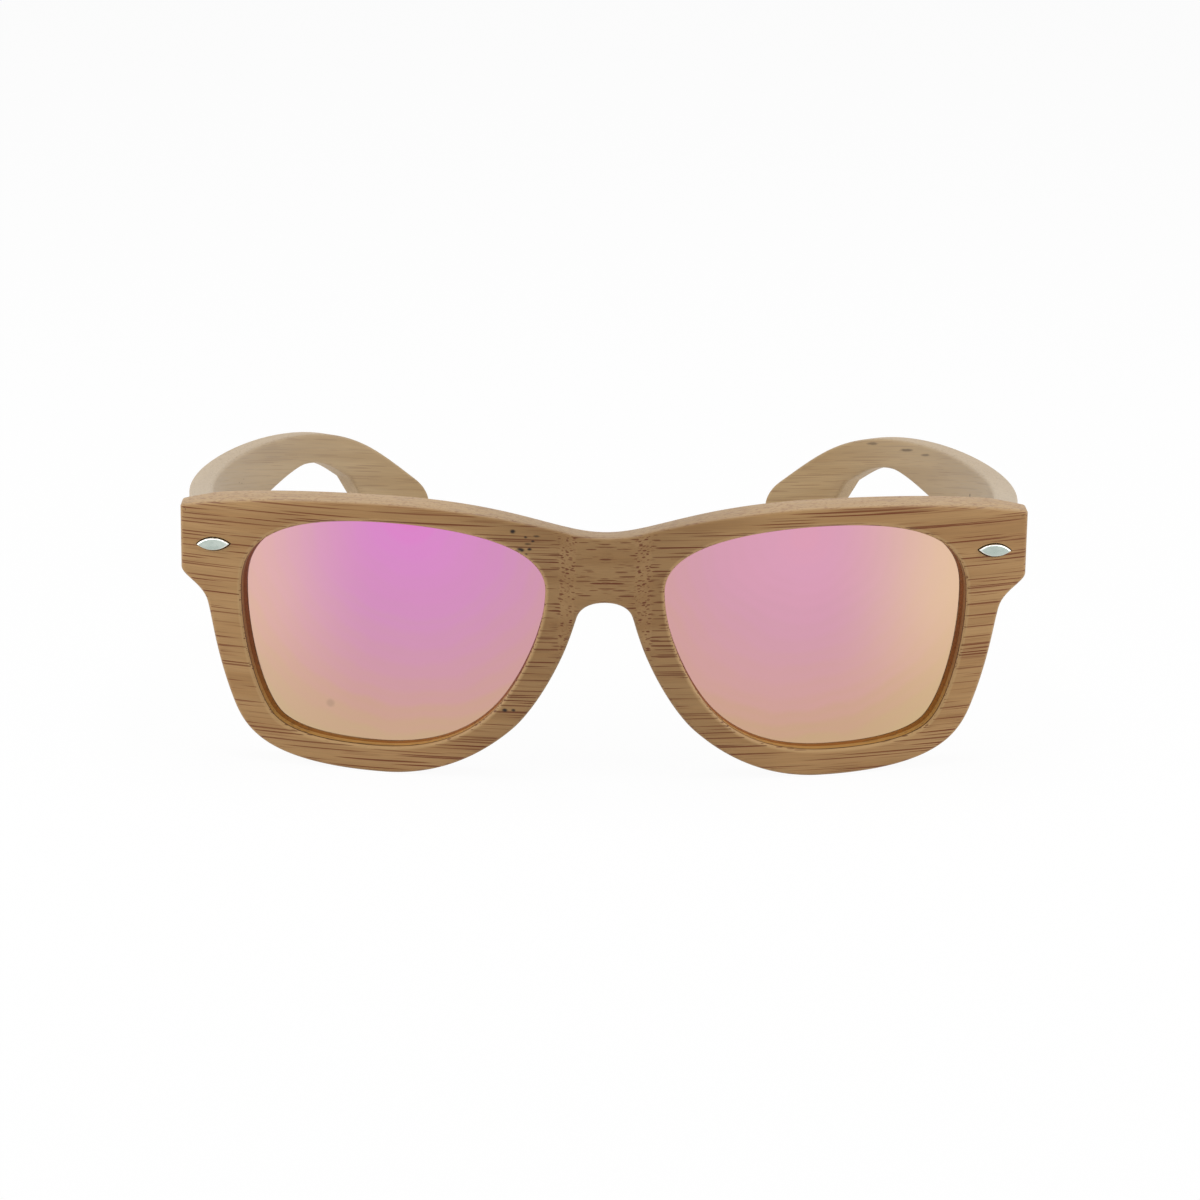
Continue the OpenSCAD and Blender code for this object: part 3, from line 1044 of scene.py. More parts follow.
FRONT_BAMBOO = BambooFinish(
    name="front_bamboo",
    pale=(178, 140, 93),
    deep=(163, 123, 77),
    streak=(110, 52, 20),
    streak_strength=1.0,
    share=0.85,
    knots=(
        Knot(-15.6, 44.3, 0.55, 1.0),
        Knot(-14.3, 41.1, 0.65, 1.0),
        Knot(-12.7, 41.3, 0.42, 1.0),
        Knot(-13.3, 40.4, 0.34, 1.0),
        Knot(-13.4, 43.4, 0.36, 0.9),
        Knot(-12.2, 42.7, 0.34, 0.9),
        Knot(-13.0, 42.2, 0.34, 0.8, 0.0, 3.0),
        Knot(-11.6, 43.6, 0.34, 0.8, 0.0, 3.0),
        Knot(-16.8, 12.5, 0.55, 1.0),
        Knot(-15.3, 12.6, 0.42, 0.9),
    ),
    cut_edges=True,
    # painted shade at the bridge
    bridge_shade=0.8,
)
TEMPLE_BAMBOO = BambooFinish(
    name="temple_bamboo",
    pale=(184, 155, 114),
    deep=(170, 140, 99),
    streak=(120, 76, 42),
    streak_strength=0.32,
    share=0.6,
    edge=(186, 168, 142),
    edge_share=0.4,
    knots=(
        Knot(582.5, 6.8, 0.45, 0.5, 4.2, 6.0),
        Knot(570.0, 5.5, 0.4, 0.6, 4.2, 9.0),
        Knot(562.0, 4.6, 0.35, 0.5, 4.2, 8.0),
        Knot(537.5, -2.6, 0.45, 1.0, 4.2, 1.0),
        Knot(324.2, -1.6, 0.22, 0.8, 4.2, 1.0),
        Knot(325.4, -0.85, 0.18, 0.7, 4.2, 1.0),
        Knot(322.6, -1.45, 0.18, 0.7, 4.2, 1.0),
    ),
)
RIGHT_MIRROR = MirrorFinish(
    name="right_mirror",
    side=Side.RIGHT,
    bloom=(-32.8, 45.7),
    stops=(
        (0.0, (225, 128, 200)),
        (6.0, (218, 140, 204)),
        (15.0, (213, 144, 189)),
        (20.0, (211, 145, 192)),
        (33.0, (207, 160, 150)),
        (39.0, (203, 166, 138)),
        (47.0, (195, 175, 129)),
    ),
    glow=(245, 203, 184),
    smudge=(-46.8, 11.2),
    spread=1.07,
    glow_from=38.0,
    glow_to=61.0,
    glow_share=0.43,
    smudge_radius=1.0,
)
LEFT_MIRROR = MirrorFinish(
    name="left_mirror",
    side=Side.LEFT,
    bloom=(33.7, 42.8),
    stops=(
        (0.0, (223, 159, 181)),
        (6.0, (218, 159, 185)),
        (11.0, (218, 158, 180)),
        (18.0, (211, 156, 177)),
        (30.0, (211, 162, 153)),
        (37.0, (199, 164, 129)),
        (46.0, (200, 178, 133)),
    ),
    glow=(241, 213, 163),
    smudge=(22.0, 9.0),
    spread=1.02,
    glow_from=36.5,
    glow_to=60.5,
    glow_share=0.55,
    smudge_radius=0.3,
)
EVEN_BRUSHING = (3000.0, 3000.0, 3000.0)
# the rivet's last colour is a painted highlight on its rim
RIVET_STEEL = SteelFinish(
    "rivet_steel", (196, 206, 198), (176, 188, 180), 0.2, (500.0, 500.0, 900.0), (232, 236, 232)
)
HINGE_STEEL = SteelFinish("hinge_steel", (190, 190, 192), (160, 161, 164), 0.28, (900.0, 120.0, 6000.0))
SCREW_STEEL = SteelFinish("screw_steel", (150, 150, 154), (118, 118, 122), 0.3, EVEN_BRUSHING)
SPRING_STEEL = SteelFinish("spring_steel", (168, 168, 172), (132, 132, 138), 0.25, EVEN_BRUSHING)


# Sub-assemblies


@dataclass(frozen=True)
class HingePlaces:
    """Where the hinges' parts sit, for the pieces with pockets for them. Sizes are in millimetres."""

    up: float = 36.8
    pivot_in: float = 5.0
    pivot_back: float = 1.8
    plate_in: float = 7.7
    plate_low: Corner = (-2.7, -1.05, -3.65)
    plate_high: Corner = (2.7, 2.0, 3.65)
    housing_back: float = 4.7
    housing_length: float = 16.0


HINGE = HingePlaces()
WOOD_CREASE_ANGLE = 38.0


def wall_mask(depth: np.ndarray) -> np.ndarray:
    """How much each point is on a wall, from its depth below the nearer face in millimetres."""
    full = 0.3
    return np.clip(depth / full, 0, 1)


@dataclass
class Front:
    """The bent bamboo front with both eye openings. Sizes are in millimetres.

    A grid for the fill of a face is its half width, its lowest row and its pitch.
    """

    width: float = 145.0
    thickness: float = 6.0
    wrap: float = 200.0
    bridge_rise: float = 0.8
    bridge_flat: float = 5.0
    bridge_foot: float = 7.8
    crease_soft: float = 0.06
    crease_columns: tuple[float, ...] = (4.6, 5.0, 5.4, 7.4, 7.8, 8.2)
    eye_offset: float = 36.0
    seat_depth: float = 2.4
    outer_round: float = 0.55
    outer_strip: float = 0.35
    chamfer: float = 0.36
    back_round: float = 0.5
    eye_strip: float = 0.4
    scorch: float = 0.22
    pad_tilt: float = 0.1
    pad_half: float = 9.0
    bridge_lift: float = 0.8
    lift_half: float = 26.0
    lift_above: float = 38.0
    tallest: float = 48.0
    face_grid: Corner = (72.0, 0.7, 1.6)
    back_grid: Corner = (71.0, 0.9, 2.0)
    spacing: float = 0.6

    def __post_init__(self) -> None:
        """Works out the values that follow from the sizes and from the frame."""
        self.middle = -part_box("front")[0].y / MM - self.bridge_rise
        self.half = self.width / 2
        self.back_radius = self.wrap - self.thickness
        self.seat = float(self.back_y(self.half)) - self.seat_depth
        self.eye_turn = math.asin(self.eye_offset / self.wrap)
        self.eye_y = float(self.face_y(self.eye_offset))
        nodes = [
            (-26, 34, 90, 8, 9.5),
            (2, 44.7, 0, 8, 12),
            (26.8, 32, -87, 10.5, 8.5),
            (20.5, 8, -142, 5, 3.5),
            (3, 4.7, 180, 9, 8.5),
            (-18, 13, 130, 8, 5),
        ]
        self.eye = curve_points(nodes, True, self.spacing)

    def face_y(self, x: Points | float) -> Points | float:
        """Depth of the bent face at x."""
        return self.wrap - np.sqrt(self.wrap**2 - x**2)

    def back_y(self, x: Points | float) -> Points | float:
        """Depth of the bent back at x."""
        return self.wrap - np.sqrt(self.back_radius**2 - x**2)

    def front_y(self, x: Points) -> Points:
        """Depth of the face with the raised bridge, its creases softened.

        Args:
            x: Places across.

        Returns:
            The depth at each place.
        """
        rise, soft = self.bridge_rise, self.crease_soft
        slope = (float(self.face_y(self.bridge_foot)) + rise) / (self.bridge_foot - self.bridge_flat)
        ramp = (np.abs(x) - self.bridge_flat) * slope - rise
        pad = (ramp - rise + np.sqrt((ramp + rise) ** 2 + soft**2)) / 2
        face = self.face_y(x)
        return (pad + face - np.sqrt((pad - face) ** 2 + soft**2)) / 2

    def rear_y(self, x: Points) -> Points:
        """Depth of the back, flat where the temples seat."""
        return np.minimum(self.back_y(x), self.seat)

    def plate_place(self) -> tuple[float, float, float]:
        """How far across and deep a hinge plate sits on the back, and its turn."""
        x = self.half - HINGE.plate_in
        return x, float(self.back_y(x)) - self.middle, math.asin(x / self.back_radius)

    def outline(self) -> Points:
        """The outline seen from the front.

        Returns:
            Points as rows of across and up.
        """
        end = self.half
        brow_nodes = [
            (0, 42.85, 0, 0, 8.5),
            (37.4, self.tallest, 0, 22, 10.5),
            (end - 0.6, 44.9, -12.5, 12, 0.3),
            (end - 0.1, 44.3, -89, 0.3, 0),
        ]
        rim_nodes = [
            (end, 33.6, -90, 0, 1.6),
            (68, 28, -105, 3, 3),
            (64.2, 12, -109, 8, 6.5),
            (37.5, 0, 180, 22, 10),
            (15.5, 9, 137, 6.5, 4.5),
            (6.3, 24.5, 109, 6, 3),
            (4.7, 29.6, 108, 1.5, 1.6),
            (0, 32.2, 180, 2.6, 0),
        ]
        brow = curve_points(brow_nodes, False, self.spacing)
        rim = curve_points(rim_nodes, False, self.spacing)
        half = np.concatenate([brow[:-1], straight_points(brow[-1], rim[0], self.spacing), rim])
        return np.concatenate([half, half[-2:0:-1] * np.array([-1, 1])])

    def lifted(self, loop: Points) -> Points:
        """Raises the face's top edge at the bridge, so that the edge falls to the back.

        Args:
            loop: Points across and up.

        Returns:
            The raised points.
        """
        near = np.clip(np.abs(loop[:, 0]) / self.lift_half, 0, 1)
        lift = self.bridge_lift * (1 + np.cos(np.pi * near)) / 2
        return loop + np.stack([0 * lift, np.where(loop[:, 1] > self.lift_above, lift, 0)], 1)

    def on_eye(self, loop: Points, depth: float, side: Side) -> Points:
        """Puts a loop round an eye opening at a depth behind the face.

        Args:
            loop: Points across from the eye's middle and up.
            depth: Depth behind the face.
            side: Which eye.

        Returns:
            Points in the frame of the part.
        """
        u, z = loop[:, 0], loop[:, 1]
        v = self.wrap - np.sqrt((self.wrap - depth) ** 2 - u**2)
        c, s = math.cos(self.eye_turn), math.sin(self.eye_turn)
        x = self.eye_offset + u * c - v * s
        return np.stack([side.value * x, self.eye_y + u * s + v * c - self.middle, z], 1)

    def grain(self, points: Points) -> Points:
        """Grain coordinates of points: along the bend, depth behind the face, and up.

        Args:
            points: Points in the frame of the part.

        Returns:
            Rows of along, depth and up.
        """
        x, y = points[:, 0], points[:, 1] + self.middle
        along = self.wrap * np.arctan2(x, self.wrap - y)
        depth = self.wrap - np.hypot(x, self.wrap - y)
        depth += self.pad_tilt * np.minimum(np.abs(along), self.pad_half)
        return np.stack([along, depth, points[:, 2]], 1)

    def eye_masks(self, points: Points) -> tuple[np.ndarray, np.ndarray, np.ndarray]:
        """Which points are on the chamfer, on the wall and on the dark line at the top of the wall of an
        eye opening.

        Args:
            points: Points in the frame of the part.

        Returns:
            The share of the chamfer, the wall and the line between them at each point.
        """
        touch, proud = 0.1, 0.05
        dx = np.abs(points[:, 0]) - self.eye_offset
        dy = points[:, 1] + self.middle - self.eye_y
        c, s = math.cos(self.eye_turn), math.sin(self.eye_turn)
        u, v = dx * c + dy * s, -dx * s + dy * c
        depth = self.wrap - np.hypot(u, self.wrap - v)
        flat = np.stack([u, points[:, 2]], 1)
        gap = np.array([np.min(np.hypot(*(self.eye - p).T)) for p in flat])
        wall = (gap < touch) & (depth > self.chamfer)
        chamfer = (gap < self.chamfer + touch) & (depth > -proud) & (depth < self.chamfer) & ~wall
        line = wall & (depth < self.chamfer + self.scorch)
        return chamfer.astype(float), wall.astype(float), line.astype(float)

    def edge_mask(self, points: Points) -> np.ndarray:
        """Which points are on the walls between the face and the back."""
        x, y = points[:, 0], points[:, 1] + self.middle
        return wall_mask(np.minimum(y - self.front_y(x), self.rear_y(x) - y))

    def recess_mask(self, points: Points) -> np.ndarray:
        """Which points are below the face inside a rivet's recess, where shadow is painted.

        Args:
            points: Points in the frame of the part.

        Returns:
            One for each of those points, and zero for the rest.
        """
        margin, shallow, deep = 0.5, 0.2, 2.0
        rivets = Rivets(self)
        across = np.abs(points[:, 0]) - (self.half - rivets.from_end)
        near = np.hypot(across, points[:, 2] - rivets.up) < rivets.length / 2 + margin
        depth = points[:, 1] + self.middle - self.front_y(points[:, 0])
        return (near & (depth > shallow) & (depth < deep)).astype(float)

    def fill_grid(self, half: float, low: float, pitch: float, creases: Sequence[float]) -> Points:
        """Points to fill a face over, with columns along its creases.

        Args:
            half: How far the points reach to each side.
            low: Height of the lowest row.
            pitch: Distance between points.
            creases: Where the face creases on one side.

        Returns:
            Points across and up.
        """
        even = np.arange(-half, half + pitch / 16, pitch)
        columns = np.unique([*even, *creases, *(-k for k in creases)])
        return np.array([(x, z) for x in columns for z in np.arange(low, self.tallest, pitch)])

    def eye_steps(self) -> list[tuple[float, float]]:
        """The section of an eye opening's wall, from the face to the back.

        Returns:
            Pairs of how far outside the eye and how deep.
        """
        c, soft, near = self.chamfer, 0.05, self.chamfer - 0.04
        steps = [(c + self.eye_strip, 0.0), (c + soft, 0.0), (near, soft), (soft, near)]
        steps += [(0.0, c + down) for down in (0.06, 0.2, 0.3, 0.6)] + [(0.0, self.thickness / 2)]
        steps += [(by, self.thickness - down) for by, down in reversed(round_levels(self.back_round, 3))]
        return steps + [(self.back_round + self.eye_strip, self.thickness)]

    def blank(self) -> Mesh:
        """Builds the front without its rivet and hinge pockets.

        Returns:
            A closed mesh.
        """
        shape = PieceMesh()
        outline = self.outline()
        levels = round_levels(self.outer_round, 4)
        support = inset(outline, self.outer_round + self.outer_strip)
        front_flat = self.lifted(support)

        def at(loop: Points, y: Points) -> Points:
            """Puts a loop of across and up at a depth."""
            return np.stack([loop[:, 0], y - self.middle, loop[:, 1]], 1)

        rings = [shape.ring(at(front_flat, self.front_y(front_flat[:, 0])))]
        for by, depth in levels:
            loop = self.lifted(inset(outline, by))
            rings.append(shape.ring(at(loop, self.front_y(loop[:, 0]) + depth)))
        for by, depth in reversed(levels):
            loop = inset(outline, by)
            rings.append(shape.ring(at(loop, self.rear_y(loop[:, 0]) - depth)))
        rings.append(shape.ring(at(support, self.rear_y(support[:, 0]))))
        shape.chain(rings)
        front_loops = [(rings[0], front_flat)]
        back_loops = [(rings[-1], support)]
        for side in Side:
            steps = [(inset(self.eye, -grow), depth) for grow, depth in self.eye_steps()]
            walls = [shape.ring(self.on_eye(loop, depth, side)) for loop, depth in steps]
            shape.chain(walls)
            for ring, loops in ((walls[0], front_loops), (walls[-1], back_loops)):
                loops.append((ring, np.array([shape.verts[i] for i in ring])[:, [0, 2]]))
        grid = self.fill_grid(*self.face_grid, self.crease_columns)
        shape.fill(front_loops, grid, lambda flat: at(flat, self.front_y(flat[:, 0])))
        seat_edge = math.sqrt(self.back_radius**2 - (self.wrap - self.seat) ** 2)
        grid = self.fill_grid(*self.back_grid, [seat_edge])
        shape.fill(back_loops, grid, lambda flat: at(flat, self.rear_y(flat[:, 0])))
        return shape.mesh("front_blank")

    def pockets(self) -> list[Mesh]:
        """Cutters for the rivet recesses and the hinge plates' pockets.

        Returns:
            Closed meshes.
        """
        found = []
        x, y, turn = self.plate_place()
        for side in Side:
            block = box_mesh(HINGE.plate_low, HINGE.plate_high, f"{side.word}_plate_pocket")
            place = Matrix.Translation(Vector((side.value * x, y, HINGE.up)) * MM)
            block.transform(place @ Matrix.Rotation(side.value * turn, 4, "Z"))
            found += [Rivets(self).recess(side), block]
        return found

    def build(self, groups: Groups) -> None:
        """Builds and dresses the front.

        Args:
            groups: The shared shader groups.
        """
        mesh = cut(self.blank(), self.pockets())
        spots = vectors(mesh.vertices, "co") / MM
        chamfer, wall, line = self.eye_masks(spots)
        recess = self.recess_mask(spots)
        store(mesh, "grain", self.grain(spots))
        store(mesh, "chamfer", chamfer)
        store(mesh, "scorched", wall)
        # the dark line at the eye walls, with painted shadow in the rivet recesses
        store(mesh, "scorch_line", np.maximum(line, recess))
        # pale edges, partly painted sheen on the top faces
        store(mesh, "edge", self.edge_mask(spots) * (1 - np.maximum.reduce([chamfer, wall, recess])))
        smooth(mesh, WOOD_CREASE_ANGLE)
        finished("bamboo_front", mesh, FRONT_BAMBOO.material(groups), "front", ["front"])


@dataclass
class Lenses:
    """The two mirrored lenses. Sizes are in millimetres, and angles in degrees."""

    front: Front
    recess: float = 1.9
    thickness: float = 1.8
    tuck: float = 0.75
    middle: tuple[float, float] = (0.5, 25.0)
    rings: int = 16
    crease_angle: float = 40.0

    def build(self, groups: Groups) -> None:
        """Builds and dresses both lenses.

        Args:
            groups: The shared shader groups.
        """
        edge, middle = inset(self.front.eye, -self.tuck), np.array(self.middle)
        loops = [middle + (1 - k / self.rings) * (edge - middle) for k in range(self.rings)]
        for side, finish in ((Side.LEFT, LEFT_MIRROR), (Side.RIGHT, RIGHT_MIRROR)):
            shape = PieceMesh()
            walls = []
            for depth in (self.recess, self.recess + self.thickness):
                rings = [shape.ring(self.front.on_eye(loop, depth, side)) for loop in loops]
                shape.chain(rings)
                shape.fan(rings[-1], self.front.on_eye(middle[None, :], depth, side)[0])
                walls.append(rings[0])
            shape.bridge(*walls)
            mesh = shape.mesh(f"{side.word}_lens_mesh")
            count = len(mesh.vertices)
            store(mesh, "rear", (np.arange(count) >= count // 2).astype(float))
            smooth(mesh, self.crease_angle)
            name = f"{side.word}_mirror_lens"
            finished(name, mesh, finish.material(groups), "front", [f"{side.word}_lens"])


class GeometryTree:
    """A Geometry Nodes tree with named inputs, run once and kept as a plain mesh."""

    def __init__(self, name: str, inputs: dict[str, object]) -> None:
        """Starts the tree.

        Args:
            name: The tree's name.
            inputs: Value of each named input, a number or an object.
        """
        self.tree = bpy.data.node_groups.new(name, "GeometryNodeTree")
        self.values: dict[str, object] = {}
        new_socket = self.tree.interface.new_socket
        new_socket(name="Geometry", in_out="INPUT", socket_type="NodeSocketGeometry")
        for label, value in inputs.items():
            kind = "NodeSocketObject" if isinstance(value, bpy.types.Object) else "NodeSocketFloat"
            socket = new_socket(name=label, in_out="INPUT", socket_type=kind)
            self.values[socket.identifier] = value
        new_socket(name="Geometry", in_out="OUTPUT", socket_type="NodeSocketGeometry")
        self.graph = Graph(self.tree)
        self.given = self.graph.add("NodeGroupInput").outputs

    def on_points(self, shape: Socket) -> Socket:
        """Places a shape on every incoming point, turned as the point's attribute says.

        Args:
            shape: Geometry to place.

        Returns:
            The instances.
        """
        g = self.graph
        turn = g.set(g.add("GeometryNodeInputNamedAttribute", data_type="FLOAT_VECTOR"), Name="turn")
        spin = g.add("FunctionNodeEulerToRotation", turn.outputs[0]).outputs[0]
        placed = g.add("GeometryNodeInstanceOnPoints")
        return g.set(placed, Points=self.given["Geometry"], Instance=shape, Rotation=spin).outputs[0]

    def moved(self, shape: Socket, by: object, scale: object = None) -> Socket:
        """A shape moved, and scaled where a scale is given."""
        made = self.graph.add("GeometryNodeTransform")
        return self.graph.set(made, Geometry=shape, Translation=by, Scale=scale).outputs[0]

    def run(self, shape: Socket, material: Material, host: Mesh, name: str) -> Mesh:
        """Ends the tree, runs it on a mesh and keeps the result.

        Args:
            shape: Geometry to end with.
            material: Its material.
            host: Mesh that the tree runs on.
            name: The new mesh's name.

        Returns:
            A plain mesh.
        """
        g = self.graph
        real = g.add("GeometryNodeRealizeInstances", shape).outputs[0]
        painted = g.set(g.add("GeometryNodeSetMaterial"), Geometry=real, Material=material)
        g.add("NodeGroupOutput", painted.outputs[0])
        holder = plain_object("tree_host", host)
        step = holder.modifiers.new("tree", "NODES")
        step.node_group = self.tree
        for identifier, value in self.values.items():
            step[identifier] = value
        made = evaluated(holder, name)
        holder.modifiers.clear()
        bpy.data.objects.remove(holder)
        return made


def point_mesh(name: str, spots: Sequence[Sequence[float]], turns: Sequence[Sequence[float]]) -> Mesh:
    """Points with a turn on each, for a tree to place things on.

    Args:
        name: The mesh's name.
        spots: Places in millimetres.
        turns: Turns about X, Y and Z in radians.

    Returns:
        A mesh of points.
    """
    made = bpy.data.meshes.new(name)
    made.from_pydata([tuple(MM * c for c in spot) for spot in spots], [], [])
    store(made, "turn", np.array(turns, float))
    return made


@dataclass
class Rivets:
    """The pointed oval rivets on the end pieces. Sizes are in millimetres, and angles in degrees.

    The profile is the rivet's outline at each level of its dome, as shares of its size and of its rise.
    """

    front: Front
    length: float = 6.2
    height: float = 2.2
    rise: float = 0.5
    sink: float = 0.5
    gap: float = 0.16
    from_end: float = 5.8
    up: float = 38.4
    slant: float = 6.5
    profile: tuple[tuple[float, float], ...] = (
        (1.0, -0.06),
        (1.0, 0.3),
        (0.985, 0.5),
        (0.955, 0.66),
        (0.91, 0.8),
        (0.86, 0.9),
        (0.8, 0.95),
        (0.7, 0.97),
        (0.45, 0.99),
        (0.2, 1.0),
    )
    rim_lift: float = 0.92
    rim_blend: float = 0.06
    recess_ahead: float = 1.5
    recess_below: float = 0.3
    recess_points: int = 24
    rivet_points: int = 28
    crease_angle: float = 50.0

    def oval(self, grow: float, count: int) -> Points:
        """The pointed oval's outline.

        Args:
            grow: How far outside the rivet.
            count: Points along each arc.

        Returns:
            Points across and up.
        """
        arc = ((self.length / 2) ** 2 + (self.height / 2) ** 2) / self.height
        drop = arc - self.height / 2
        radius = arc + grow
        reach = math.sqrt(radius**2 - drop**2)
        x = reach * np.cos(np.linspace(0, math.pi, count + 1))[:-1]
        upper = np.stack([x, np.sqrt(radius**2 - x**2) - drop], 1)
        return np.concatenate([upper, -upper])

    def place(self, side: Side) -> tuple[Vector, Corner]:
        """Where a rivet sits on the bent face.

        Args:
            side: Which rivet.

        Returns:
            Its place in millimetres and its turns about X, Y and Z.
        """
        x = self.front.half - self.from_end
        y = float(self.front.face_y(x)) - self.front.middle
        slant, turn = math.radians(self.slant), math.asin(x / self.front.wrap)
        return Vector((side.value * x, y, self.up)), (0.0, side.value * slant, side.value * turn)

    def recess(self, side: Side) -> Mesh:
        """A cutter for the rivet's recess.

        Args:
            side: Which rivet.

        Returns:
            A closed mesh in place.
        """
        shape = PieceMesh()
        loop = self.oval(self.gap, self.recess_points)
        depths = (-self.recess_ahead, self.sink + self.recess_below)
        rings = [shape.level(loop, depth) for depth in depths]
        shape.chain(rings)
        for ring, depth in zip(rings, depths):
            shape.fan(ring, (0, depth, 0))
        made = shape.mesh(f"{side.word}_rivet_recess")
        spot, turn = self.place(side)
        made.transform(Matrix.Translation(spot * MM) @ Euler(turn).to_matrix().to_4x4())
        return made

    def cushion(self) -> Mesh:
        """One rivet of unit size with a flat face and a rounded rim.

        Returns:
            A closed mesh, one unit to each half size.
        """
        shape = PieceMesh()
        loop = self.oval(0.0, self.rivet_points) / np.array([self.length / 2, self.height / 2])
        foot = self.sink / self.rise
        rings = [shape.level(loop, foot)]
        rings += [shape.level(loop * share, -lift) for share, lift in self.profile]
        shape.chain(rings)
        shape.fan(rings[0], (0, foot, 0))
        shape.fan(rings[-1], (0, -1.0, 0))
        made = shape.mesh("rivet_unit")
        lift = -vectors(made.vertices, "co")[:, 1] / MM
        # painted highlight: the dome's sloping rim is marked to be painted paler
        store(made, "rim", np.clip((self.rim_lift - lift) / self.rim_blend, 0, 1))
        return made

    def build(self, groups: Groups) -> None:
        """Places and dresses both rivets.

        Args:
            groups: The shared shader groups.
        """
        unit = plain_object("rivet_unit", self.cushion())
        for v in unit.data.vertices:
            v.co /= MM
        sizes = {"Length": self.length * MM, "Height": self.height * MM, "Rise": self.rise * MM}
        tree = GeometryTree("rivets_on_front", sizes | {"Rivet": unit})
        g, given = tree.graph, tree.given
        source = g.set(g.add("GeometryNodeObjectInfo"), Object=given["Rivet"])
        scale = g.combine(g.times(given["Length"], 0.5), given["Rise"], g.times(given["Height"], 0.5))
        sized = tree.moved(source.outputs["Geometry"], (0.0, 0.0, 0.0), scale)
        spots, turns = zip(*(self.place(side) for side in Side))
        material = RIVET_STEEL.material(groups)
        host = point_mesh("rivet_points", spots, turns)
        mesh = tree.run(tree.on_points(sized), material, host, "rivets")
        bpy.data.objects.remove(unit)
        smooth(mesh, self.crease_angle)
        finished("steel_rivets", mesh, material, "front", ["left_rivet", "right_rivet"])


